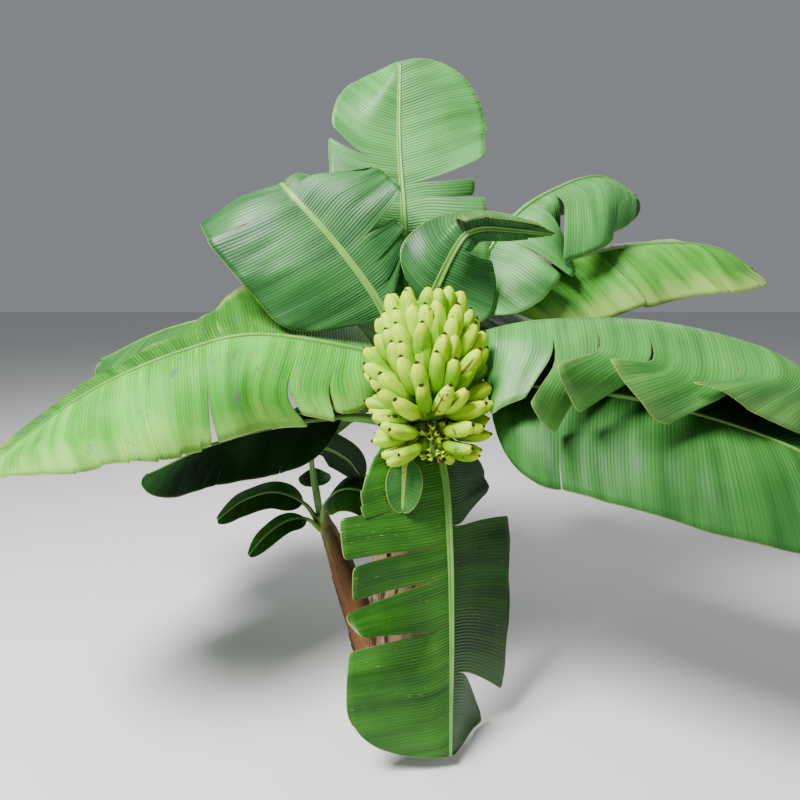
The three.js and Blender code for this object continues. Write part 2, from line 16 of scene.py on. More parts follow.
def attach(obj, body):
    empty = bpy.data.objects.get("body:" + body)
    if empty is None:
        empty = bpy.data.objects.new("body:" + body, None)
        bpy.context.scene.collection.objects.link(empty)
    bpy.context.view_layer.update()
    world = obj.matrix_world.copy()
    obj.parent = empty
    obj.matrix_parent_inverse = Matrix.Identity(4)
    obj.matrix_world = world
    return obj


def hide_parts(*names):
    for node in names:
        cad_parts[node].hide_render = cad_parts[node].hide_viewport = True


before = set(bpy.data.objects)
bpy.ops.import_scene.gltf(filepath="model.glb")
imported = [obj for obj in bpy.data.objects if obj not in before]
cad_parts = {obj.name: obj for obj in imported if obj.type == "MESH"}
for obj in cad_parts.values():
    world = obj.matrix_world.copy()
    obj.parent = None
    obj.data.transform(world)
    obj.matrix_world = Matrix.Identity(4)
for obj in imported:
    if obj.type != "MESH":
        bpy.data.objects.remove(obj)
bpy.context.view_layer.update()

log = logging.getLogger("banana_plant")

Point = tuple[float, float, float]
Color = tuple[float, float, float]
Rows = tuple[tuple[float, float], ...]
Place = tuple[Vector, dict[str, float]]
BODY = "root"
FULL_TURN = 2 * math.pi

# The blades: the pitch and height of their pleats, their thickness and how low they may hang.
PLEAT = 0.0086
ROWS_PER_PLEAT = 4
PLEAT_HEIGHT = 0.0006
BLADE_THICKNESS = 0.0009
LOWEST = 0.004

# A distance past which a tear doesn't show, and a vein's share for a strip side with no tear.
FAR_FROM_TEAR = 0.1
NO_TEAR = 1.5

# How many ridges run along a fruit.
FRUIT_RIDGES = 5


def mix(low: float, high: float, share: float) -> float:
    """Returns the value that lies a share of the way from low to high."""
    return low + (high - low) * share


def smooth(low: float, high: float, value: float) -> float:
    """Returns 0 below low, 1 above high and a smooth run between them."""
    share = min(max((value - low) / (high - low), 0.0), 1.0)
    return share * share * (3 - 2 * share)


def profile(rows: Rows, share: float) -> float:
    """Reads a table as a smooth run of values.

    Args:
        rows: Pairs of a share and the value there, in rising order of share.
        share: Where to read it.

    Returns:
        The value at that share.
    """
    index = 1
    while index < len(rows) - 1 and rows[index][0] < share:
        index += 1
    (start, low), (stop, high) = rows[index - 1], rows[index]
    return mix(low, high, smooth(start, stop, share))


def wave(seed: float, *place: float) -> float:
    """Returns smooth noise between about -1 and 1 at a place, another pattern for each seed."""
    x, y = (*place, 0.0)[:2]
    return noise.noise(Vector((x, y, seed * 7.31)))


@dataclass
class Spot:
    """A place on a track: its point, the way the track runs, its side and its normal."""

    point: Vector
    direction: Vector
    side: Vector
    normal: Vector

    def outward(self, angle: float) -> Vector:
        """Returns the way out from the track at an angle in radians from its side."""
        return self.side * math.cos(angle) + self.normal * math.sin(angle)


class Track:
    """A smooth curve through points, with a side that is carried along it without turning."""

    SAMPLES = 320

    def __init__(self, points: Sequence[Point], azimuth: float = 0.0) -> None:
        """Samples the curve evenly along its length.

        Args:
            points: The points that it passes through.
            azimuth: The compass angle in degrees that the side is square to at the start.
        """
        knots = [Vector(point) for point in points]
        knots = [2 * knots[0] - knots[1], *knots, 2 * knots[-1] - knots[-2]]
        self.spans = len(points) - 1
        dense = [self._on_curve(knots, step / self.SAMPLES) for step in range(self.SAMPLES + 1)]
        self.run = [0.0]
        for before, after in zip(dense, dense[1:]):
            self.run.append(self.run[-1] + (after - before).length)
        self.length = self.run[-1]
        angle = math.radians(azimuth)
        side = Vector((-math.sin(angle), math.cos(angle), 0.0))
        self.spots: list[Spot] = []
        index = 0
        for step in range(self.SAMPLES + 1):
            goal = self.length * step / self.SAMPLES
            while index < self.SAMPLES - 1 and self.run[index + 1] < goal:
                index += 1
            part = (goal - self.run[index]) / (self.run[index + 1] - self.run[index])
            direction = (dense[index + 1] - dense[index]).normalized()
            side = (side - side.dot(direction) * direction).normalized()
            point = dense[index].lerp(dense[index + 1], part)
            self.spots.append(Spot(point, direction, side, direction.cross(side)))

    def _on_curve(self, knots: list[Vector], share: float) -> Vector:
        """Returns the point at a share of the spans.

        Args:
            knots: The points with one more before and after.
            share: The share of the spans.

        Returns:
            The point there.
        """
        place = share * self.spans
        index = min(int(place), self.spans - 1)
        t = place - index
        before, start, stop, after = knots[index:index + 4]
        leave = (stop - before) / 2
        arrive = (after - start) / 2
        bend = -3 * start + 3 * stop - 2 * leave - arrive
        return start + leave * t + bend * t * t + (2 * start - 2 * stop + leave + arrive) * t * t * t

    def share_at_knot(self, knot: int) -> float:
        """Returns the share of the length that lies before one of the points."""
        return self.run[round(knot / self.spans * self.SAMPLES)] / self.length

    def at(self, share: float) -> Spot:
        """Returns the spot at a share of the length.

        Args:
            share: The share of the length.

        Returns:
            The spot there.
        """
        place = min(max(share, 0.0), 1.0) * self.SAMPLES
        index = min(int(place), self.SAMPLES - 1)
        part = place - index
        one, two = self.spots[index], self.spots[index + 1]
        direction = one.direction.lerp(two.direction, part).normalized()
        side = one.side.lerp(two.side, part)
        side = (side - side.dot(direction) * direction).normalized()
        return Spot(one.point.lerp(two.point, part), direction, side, direction.cross(side))


class Value:
    """A number in a shader, with Python's operators for its maths."""

    def __init__(self, shader: "Shader", socket: bpy.types.NodeSocket) -> None:
        """Wraps a socket of a shader's node tree."""
        self.shader = shader
        self.socket = socket

    def _math(self, operation: str, *terms: Any) -> "Value":
        """Adds a Math node on these terms."""
        inputs = dict(enumerate(terms))
        return self.shader.node("ShaderNodeMath", {"operation": operation}, inputs)

    def __add__(self, other: Any) -> "Value":
        """Returns the sum."""
        return self._math("ADD", self, other)

    __radd__ = __add__

    def __sub__(self, other: Any) -> "Value":
        """Returns the difference."""
        return self._math("SUBTRACT", self, other)

    def __rsub__(self, other: Any) -> "Value":
        """Returns the difference the other way round."""
        return self._math("SUBTRACT", other, self)

    def __mul__(self, other: Any) -> "Value":
        """Returns the product."""
        return self._math("MULTIPLY", self, other)

    __rmul__ = __mul__

    def sine(self) -> "Value":
        """Returns the sine of the value in radians."""
        return self._math("SINE", self)

    def size(self) -> "Value":
        """Returns the value without its sign."""
        return self._math("ABSOLUTE", self)

    def step(self, low: float, high: float) -> "Value":
        """Returns 0 at low, 1 at high and a smooth run between them, either way round.

        Args:
            low: The value that gives 0.
            high: The value that gives 1.

        Returns:
            The stepped value.
        """
        settings = {"interpolation_type": "SMOOTHSTEP"}
        inputs = {"Value": self, "From Min": low, "From Max": high}
        return self.shader.node("ShaderNodeMapRange", settings, inputs)


class Shader:
    """A material's node tree, built node by node round one Principled BSDF."""

    def __init__(self, name: str) -> None:
        """Starts a material of that name.

        Args:
            name: The material's name.
        """
        self.material = bpy.data.materials.new(name)
        self.material.use_nodes = True
        self.nodes = self.material.node_tree.nodes
        self.skin = self.nodes["Principled BSDF"]

    def node(self, kind: str, settings: dict[str, Any], inputs: dict[Any, Any], output: Any = 0) -> Value:
        """Adds one node.

        Args:
            kind: The node's type.
            settings: What is set on the node itself.
            inputs: A value or a link for each of its sockets, by name or number.
            output: Which of its outputs to give back.

        Returns:
            The chosen output.
        """
        node = self.nodes.new(kind)
        for key, value in settings.items():
            setattr(node, key, value)
        for key, value in inputs.items():
            self._feed(node.inputs[key], value)
        return Value(self, node.outputs[output])

    def _feed(self, socket: bpy.types.NodeSocket, value: Any) -> None:
        """Links a value to a socket, or sets it there.

        Args:
            socket: The socket to feed.
            value: A value that is linked, or a plain number or colour.
        """
        if isinstance(value, Value):
            self.material.node_tree.links.new(value.socket, socket)
        elif isinstance(value, tuple) and socket.type == "RGBA":
            socket.default_value = (*value, 1.0)
        else:
            socket.default_value = value

    def attributes(self, *names: str) -> list[Value]:
        """Returns the numbers that the mesh carries under these names.

        Args:
            *names: The names of the numbers.

        Returns:
            One value for each name.
        """
        kind = "ShaderNodeAttribute"
        settings = {"attribute_type": "GEOMETRY"}
        return [self.node(kind, settings | {"attribute_name": name}, {}, "Fac") for name in names]

    def place(self) -> Value:
        """Returns the Object coordinates."""
        return self.node("ShaderNodeTexCoord", {}, {}, "Object")

    def vector(self, x: Any, y: Any, z: Any = 0.0) -> Value:
        """Returns a vector of three values."""
        return self.node("ShaderNodeCombineXYZ", {}, {0: x, 1: y, 2: z})

    def grain(self, vector: Value, scale: float, detail: float, rough: float = 0.5) -> Value:
        """Returns noise between 0 and 1 at a vector."""
        inputs = {"Vector": vector, "Scale": scale, "Detail": detail, "Roughness": rough}
        return self.node("ShaderNodeTexNoise", {"noise_dimensions": "3D"}, inputs)

    def streak(self, x: Any, y: Any, detail: float, rough: float = 0.5) -> Value:
        """Returns noise between 0 and 1 at two numbers, stretched by what each is multiplied by."""
        return self.grain(self.vector(x, y), 1.0, detail, rough)

    def blend(self, factor: Any, one: Any, two: Any) -> Value:
        """Returns a colour that runs from one to two with the factor."""
        settings = {"data_type": "RGBA", "blend_type": "MIX", "clamp_factor": True}
        return self.node("ShaderNodeMix", settings, {0: factor, 6: one, 7: two}, 2)

    def tint(self, color: Value, factor: Any) -> Value:
        """Returns a colour made darker or lighter by a factor."""
        grey = self.vector(factor, factor, factor)
        return self.node("ShaderNodeVectorMath", {"operation": "MULTIPLY"}, {0: color, 1: grey})

    def bump(self, height: Value, distance: float, strength: float) -> Value:
        """Returns a normal raised by a height."""
        inputs = {"Height": height, "Distance": distance, "Strength": strength}
        return self.node("ShaderNodeBump", {}, inputs)

    def finish(self, **inputs: Any) -> bpy.types.Material:
        """Feeds the Principled BSDF, with underscores for the spaces in its sockets' names.

        Args:
            **inputs: A value for each socket, by its name.

        Returns:
            The new material.
        """
        for key, value in inputs.items():
            self._feed(self.skin.inputs[key.replace("_", " ")], value)
        return self.material


@dataclass(frozen=True)
class LeafFinish:
    """The skin of a blade: green, lined along its veins, with a pale margin and dry spots.

    The pale lines along the veins are partly their own colour and partly painted highlight on the
    pleat crests. The shares say how strongly each mark shows. A shaded half darkens the left half
    of the blade, or the right half where it is below zero.
    """

    name: str
    deep: Color
    light: Color
    # The colour of the pale lines along the veins, which also paints highlight on the pleat crests.
    line: Color
    margin: Color = (0.50, 0.58, 0.14)
    dry: Color = (0.16, 0.09, 0.03)
    fleck: Color = (0.34, 0.34, 0.06)
    stain: Color = (0.075, 0.085, 0.075)
    yellow: Color = (0.36, 0.47, 0.05)
    yellowing: float = 0.0
    flecks: float = 0.3
    blotches: float = 0.0
    shaded_half: float = 0.0
    rim: float = 0.35
    dryness: float = 0.25
    roughness: float = 0.42
    gloss: float = 0.25

    def material(self) -> bpy.types.Material:
        """Returns the blade's material.

        Returns:
            The new material.
        """
        shader = Shader(self.name)
        along, across, edge, tear = shader.attributes("along", "across", "edge", "tear")
        out = across.size()
        near_rib = out.step(0.24, 0.0)
        pleats = (along * (FULL_TURN / PLEAT)).sine()
        streaks = shader.streak(along * 330, across * 4, 3.0)
        bands = shader.streak(along * 26, across * 1.5, 2.0)
        patches = shader.grain(shader.place(), 4.5, 3.0)
        tone = 0.42 + (streaks - 0.5) * 0.5 + (bands - 0.5) * 1.0 + (patches - 0.5) * 1.0
        color = shader.blend(tone.step(0.0, 0.9), self.deep, self.light)
        # Pale lines on the pleat crests, strongest beside the rib: partly the veins' own colour and partly
        # painted highlight where the pleats catch the light.
        crest_and_sheen = (pleats + (streaks - 0.5) * 1.6 + (bands - 0.5) * 1.4).step(0.35, 1.0)
        color = shader.blend(crest_and_sheen * (near_rib * 0.30 + 0.07), color, self.line)
        if self.shaded_half:
            side = math.copysign(0.01, self.shaded_half)
            color = shader.tint(color, 1.0 - across.step(0.0, side) * abs(self.shaded_half))
        ragged = shader.streak(along * 60, across * 22, 3.0)
        if self.yellowing > 0:
            glow = (edge - (bands - 0.5) * 0.12 - (patches - 0.5) * 0.16).step(0.11, 0.0)
            color = shader.blend(glow * self.yellowing, color, self.margin)
        fleck_field = shader.streak(along * 330, across * 46, 1.0)
        where = shader.streak(along * 9, across * 7, 1.0)
        flecks = fleck_field.step(0.70, 0.76) * where.step(0.46, 0.60)
        color = shader.blend(flecks * self.flecks, color, self.fleck)
        hearts = fleck_field.step(0.78, 0.82) * where.step(0.50, 0.62)
        color = shader.blend(hearts * self.flecks, color, self.dry)
        if self.blotches > 0:
            stains = shader.streak(along * 22, across * 13, 3.0, 0.6).step(0.60, 0.70)
            color = shader.blend(stains * self.blotches, color, self.stain)
            streaked = shader.streak(along * 120, across * 9, 2.0).step(0.60, 0.74)
            color = shader.blend(streaked * bands.step(0.40, 0.62) * self.blotches, color, self.yellow)
        rim = edge.step(0.0030, 0.0012)
        color = shader.blend(rim * self.rim, color, self.margin)
        dryness = (edge - (ragged - 0.60) * 0.05).step(0.003, 0.0) * rim.step(0.0, 0.01)
        scorch = (edge - (where - 0.62) * 0.10).step(0.004, 0.0)
        color = shader.blend(scorch * self.dryness, color, self.dry)
        torn = (tear - (ragged - 0.5) * 0.008).step(0.0022, 0.0)
        color = shader.blend(torn * (0.25 + self.dryness), color, self.dry)
        relief = streaks * 0.5 + pleats * 0.2
        return shader.finish(
            Base_Color=color,
            Roughness=self.roughness + (streaks - 0.5) * 0.2 + dryness * 0.2,
            Normal=shader.bump(relief, 0.0006, 0.7),
            Specular_IOR_Level=self.gloss,
        )


@dataclass(frozen=True)
class StalkFinish:
    """The smooth waxy skin of leaf stalks, midribs and the bunch stalk."""

    name: str
    green: Color
    pale: Color
    brown: Color = (0.10, 0.055, 0.02)
    spotting: float = 0.35
    roughness: float = 0.38

    def material(self) -> bpy.types.Material:
        """Returns the stalk's material.

        Returns:
            The new material.
        """
        shader = Shader(self.name)
        along, around = shader.attributes("along", "around")
        fibres = shader.streak(along * 7, around * 34, 3.0)
        patches = shader.grain(shader.place(), 14.0, 3.0)
        color = shader.blend((fibres * 0.6 + patches * 0.4).step(0.3, 0.7), self.green, self.pale)
        spots = shader.grain(shader.place(), 90.0, 2.0).step(0.63, 0.70) * patches.step(0.45, 0.6)
        color = shader.blend(spots * self.spotting, color, self.brown)
        return shader.finish(
            Base_Color=color,
            Roughness=self.roughness + (fibres - 0.5) * 0.2,
            Normal=shader.bump(fibres, 0.0012, 0.6),
        )


@dataclass(frozen=True)
class SheathFinish:
    """Dry fibrous leaf sheaths, green or brown where they are young and grey where they are old."""

    name: str
    young: Color
    old: Color
    dark: Color
    turn: tuple[float, float]

    def material(self) -> bpy.types.Material:
        """Returns the sheaths' material.

        Returns:
            The new material.
        """
        shader = Shader(self.name)
        along, around, edge = shader.attributes("along", "around", "edge")
        fibres = shader.streak(along * 3.2, around * 46, 4.0, 0.62)
        patches = shader.streak(along * 5, around * 4, 3.0)
        age = (along + (patches - 0.5) * 0.5).step(*self.turn)
        color = shader.blend(age, self.young, self.old)
        color = shader.tint(color, 0.62 + fibres * 0.75)
        color = shader.blend(patches.step(0.56, 0.68) * 0.75, color, self.dark)
        color = shader.blend(edge.step(0.05, 0.0) * 0.8, color, self.dark)
        blotch = shader.streak(along * 16, around * 12, 2.0).step(0.62, 0.7)
        color = shader.blend(blotch * 0.55, color, self.dark)
        return shader.finish(
            Base_Color=color,
            Roughness=0.62 + (fibres - 0.5) * 0.3,
            Normal=shader.bump(fibres + patches * 0.5, 0.004, 0.9),
        )


@dataclass(frozen=True)
class FruitFinish:
    """The skin of a full-grown green fruit: paler at its ends, with a black tip and brown scars."""

    name: str
    green: Color
    light: Color
    pale: Color
    scar: Color = (0.09, 0.045, 0.018)
    tip: Color = (0.022, 0.014, 0.009)
    shaded_foot: float = 0.5
    gloss: float = 0.12

    def material(self) -> bpy.types.Material:
        """Returns the fruit's material.

        Returns:
            The new material.
        """
        shader = Shader(self.name)
        along, around, mark = shader.attributes("along", "around", "mark")
        ridges = (around * FRUIT_RIDGES).sine()
        place = shader.place()
        patches = shader.grain(place, 16.0, 3.0)
        streaks = shader.streak(along * 3, around * 5, 3.0)
        ripe = patches * 0.5 + streaks * 0.3 + (mark - 0.4) * 0.35
        color = shader.blend(ripe.step(0.22, 0.62), self.green, self.light)
        color = shader.blend(along.step(0.66, 0.96) * 0.7, color, self.pale)
        color = shader.blend(ridges.step(-0.75, -1.0) * 0.15, color, self.pale)
        color = shader.blend(ridges.step(0.70, 1.0) * 0.30, color, self.green)
        color = shader.tint(color, 1.0 - along.step(0.55, 0.10) * self.shaded_foot)
        specks = shader.grain(place, 260.0, 1.0).step(0.70, 0.76) * patches.step(0.4, 0.6)
        color = shader.blend(specks * 0.7, color, self.scar)
        rough = shader.grain(place, 34.0, 4.0, 0.65)
        scars = (rough + shader.grain(place, 7.0, 1.0) * 0.5 + mark.step(0.7, 1.0) * 0.05).step(0.92, 0.97)
        color = shader.blend(scars * 0.85, color, self.scar)
        slit = (around.sine() + (rough - 0.5) * 0.06).step(0.975, 0.995) * mark.step(0.78, 0.80)
        slit = slit * along.step(0.22, 0.30) * along.step(0.86, 0.74)
        color = shader.blend(slit * 0.9, color, self.scar)
        color = shader.blend((along + (streaks - 0.5) * 0.02).step(0.942, 0.954), color, self.tip)
        return shader.finish(
            Base_Color=color,
            Roughness=0.40 + scars * 0.3 + (patches - 0.5) * 0.16 + along.step(0.94, 0.97) * 0.4,
            Normal=shader.bump(patches + scars * 0.4 - slit * 0.8, 0.002, 0.5),
            Specular_IOR_Level=self.gloss,
        )


@dataclass(frozen=True)
class DryFinish:
    """Dry brown plant remains, such as old flowers and peeled strips."""

    name: str
    dark: Color
    light: Color

    def material(self) -> bpy.types.Material:
        """Returns the dry material.

        Returns:
            The new material.
        """
        shader = Shader(self.name)
        along, around = shader.attributes("along", "around")
        fibres = shader.streak(along * 4, around * 30, 3.0)
        patches = shader.grain(shader.place(), 30.0, 3.0)
        color = shader.blend((fibres * 0.6 + patches * 0.4).step(0.3, 0.72), self.dark, self.light)
        return shader.finish(
            Base_Color=color,
            Roughness=0.8,
            Normal=shader.bump(fibres, 0.002, 0.8),
        )


class Tone(Enum):
    """The finishes of the blades' upper skins, named by their look, and of the skin under them."""

    BRIGHT = LeafFinish(
        "leaf_bright", (0.030, 0.140, 0.026), (0.085, 0.330, 0.066), (0.22, 0.46, 0.16),
        flecks=0.1,
    )
    UPPER = LeafFinish(
        "leaf_upper", (0.009, 0.056, 0.012), (0.038, 0.175, 0.036), (0.10, 0.29, 0.09),
        flecks=0.1,
    )
    SUNNY = LeafFinish(
        "leaf_sunny", (0.022, 0.150, 0.012), (0.105, 0.430, 0.040), (0.22, 0.50, 0.08),
        yellowing=0.45, flecks=0.6, rim=0.6,
    )
    FRESH = LeafFinish(
        "leaf_fresh", (0.022, 0.120, 0.018), (0.085, 0.330, 0.055), (0.17, 0.42, 0.10),
        yellowing=0.08, flecks=0.15, rim=0.5,
    )
    SPOTTED = LeafFinish(
        "leaf_spotted", (0.024, 0.190, 0.010), (0.100, 0.480, 0.036), (0.26, 0.58, 0.12),
        yellowing=0.25, flecks=0.95, blotches=0.6, shaded_half=-0.5, rim=0.6, roughness=0.55, gloss=0.12,
    )
    COOL = LeafFinish(
        "leaf_cool", (0.014, 0.080, 0.012), (0.044, 0.190, 0.030), (0.07, 0.24, 0.05),
        flecks=0.15, roughness=0.52, gloss=0.18,
    )
    DEEP = LeafFinish(
        "leaf_deep", (0.009, 0.052, 0.005), (0.038, 0.180, 0.012), (0.08, 0.25, 0.02),
        flecks=0.9, shaded_half=0.5, roughness=0.38, gloss=0.18,
    )
    SHADE = LeafFinish(
        "leaf_shade", (0.003, 0.018, 0.003), (0.007, 0.040, 0.006), (0.015, 0.06, 0.010),
        flecks=0.1, gloss=0.1,
    )
    UNDER = LeafFinish(
        "leaf_under", (0.030, 0.110, 0.014), (0.080, 0.220, 0.040), (0.14, 0.30, 0.08),
        flecks=0.1, roughness=0.6,
    )


class Palette:
    """All materials of the plant, each made once."""

    def __init__(self) -> None:
        """Makes every material."""
        self.tones = {tone: tone.value.material() for tone in Tone}
        self.stalk = StalkFinish("stalk_skin", (0.08, 0.25, 0.020), (0.19, 0.40, 0.07)).material()
        self.peduncle = StalkFinish("bunch_stalk_skin", (0.09, 0.27, 0.015), (0.20, 0.42, 0.04)).material()
        self.bract = StalkFinish(
            "bract_skin", (0.17, 0.34, 0.02), (0.36, 0.47, 0.07), spotting=0.95
        ).material()
        self.stem = SheathFinish(
            "stem_sheaths", (0.22, 0.24, 0.07), (0.17, 0.095, 0.04), (0.045, 0.024, 0.012), (0.95, 0.45)
        ).material()
        self.sucker = SheathFinish(
            "sucker_sheaths", (0.24, 0.25, 0.04), (0.24, 0.095, 0.025), (0.045, 0.018, 0.008), (0.52, 0.36)
        ).material()
        self.fruit = FruitFinish(
            "fruit_skin", (0.115, 0.33, 0.0), (0.40, 0.69, 0.0), (0.56, 0.73, 0.002)
        ).material()
        self.flower = DryFinish("dry_flower", (0.02, 0.012, 0.007), (0.13, 0.075, 0.03)).material()
        self.strip = DryFinish("dry_strip", (0.06, 0.030, 0.014), (0.30, 0.18, 0.09)).material()


class Piece:
    """A mesh under construction, which ends as one object on the plant's body."""

    def __init__(self, name: str, *attributes: str) -> None:
        """Starts an empty mesh that carries the named numbers on its vertices.

        Args:
            name: The name of the piece.
            *attributes: The names of its vertices' numbers.
        """
        self.name = name
        self.bm = bmesh.new()
        self.layers = {key: self.bm.verts.layers.float.new(key) for key in attributes}

    def put(self, vertex: bmesh.types.BMVert, point: Vector, numbers: dict[str, float]) -> None:
        """Moves a vertex to a point and writes its numbers.

        Args:
            vertex: The vertex.
            point: Where it goes.
            numbers: Its numbers by name.
        """
        vertex.co = point
        for key, number in numbers.items():
            vertex[self.layers[key]] = number

    def grid(
        self, rows: int, columns: int, place: Callable[[int, int], Place], turned: bool = False
    ) -> None:
        """Adds a grid of faces.

        Args:
            rows: How many faces it has one way.
            columns: How many faces it has the other way.
            place: Gives the point and the numbers at a row and column.
            turned: Turns its faces over.
        """
        made = bmesh.ops.create_grid(self.bm, x_segments=rows, y_segments=columns, size=0.5)["verts"]
        faces = {face for vertex in made for face in vertex.link_faces}
        for vertex in made:
            row = round((vertex.co.x + 0.5) * rows)
            column = round((vertex.co.y + 0.5) * columns)
            self.put(vertex, *place(row, column))
        if turned:
            bmesh.ops.reverse_faces(self.bm, faces=list(faces))

    def tube(
        self, rows: int, sides: int, place: Callable[[float, float], Place], merge: float = 1e-5
    ) -> None:
        """Adds a closed tube: a grid whose sides meet, with both its ends filled.

        Args:
            rows: How many faces it has along its length.
            sides: How many faces it has round it.
            place: Gives the point and the numbers at a share of the length and a share of the turn.
            merge: How close points are merged.
        """
        before = set(self.bm.verts)
        self.grid(rows, sides, lambda row, side: place(row / rows, (side % sides) / sides))
        made = [vertex for vertex in self.bm.verts if vertex not in before]
        bmesh.ops.remove_doubles(self.bm, verts=made, dist=merge)
        made = [vertex for vertex in self.bm.verts if vertex not in before]
        rims = {edge for vertex in made for edge in vertex.link_edges if edge.is_boundary}
        if rims:
            bmesh.ops.holes_fill(self.bm, edges=list(rims), sides=0)
        faces = {face for vertex in made for face in vertex.link_faces}
        bmesh.ops.recalc_face_normals(self.bm, faces=list(faces))

    def merge(self, distance: float) -> None:
        """Merges points that lie closer than a distance."""
        bmesh.ops.remove_doubles(self.bm, verts=self.bm.verts, dist=distance)

    def finish(
        self, slot: str, *materials: bpy.types.Material, stands_for: Sequence[str] = ()
    ) -> bpy.types.Object:
        """Makes the object.

        Args:
            slot: Not used.
            *materials: Its materials, in the order of its slots.
            stands_for: The solids that it replaces.

        Returns:
            The object, riding on the plant's body.
        """
        mesh = bpy.data.meshes.new(self.name)
        for face in self.bm.faces:
            face.smooth = True
        self.bm.to_mesh(mesh)
        self.bm.free()
        for material in materials:
            mesh.materials.append(material)
        thing = bpy.data.objects.new(self.name, mesh)
        bpy.context.scene.collection.objects.link(thing)
        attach(thing, BODY)
        if stands_for:
            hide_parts(*stands_for)
        log.info("%s: %d faces", self.name, len(mesh.polygons))
        return thing


@dataclass(frozen=True)
class Lobe:
    """One torn lobe of a half blade, from the end of the last one to a share of the blade.

    Angles are in degrees: hang turns it about the midrib, twist does so from its first vein to
    its last, swing and fan turn its veins along the blade, and curl rolls its outer part. The
    tear past it starts at a share of the half's width and runs out to the margin.
    """

    to: float
    hang: float = 0.0
    twist: float = 0.0
    swing: float = 0.0
    fan: float = 0.0
    curl: float = 0.0
    size: float = 1.0
    tear: float = 0.12


@dataclass(frozen=True)
class Half:
    """One half of a blade: its angle to the level at the rib and at the margin, and its lobes.

    The bend is the share of the half's width over which it turns from the one angle to the other.
    """

    root: float
    edge: float
    lobes: tuple[Lobe, ...] = (Lobe(1),)
    bend: float = 1.0


@dataclass(frozen=True)
class Strip:
    """A stretch of lobe between two tears.

    Start and stop are its ends and begin and end its lobe's, as shares of the blade. The opens are
    the shares of a vein where the strip's two tears and the lobe's two tears begin, the gaps are
    the degrees by which its edges draw back from them, and flap says how far it bends, from -1 to 1.
    """

    lobe: Lobe
    start: float
    stop: float
    open_start: float
    open_stop: float
    flap: float
    begin: float
    end: float
    lobe_open: float
    lobe_close: float
    gap_start: float
    gap_stop: float


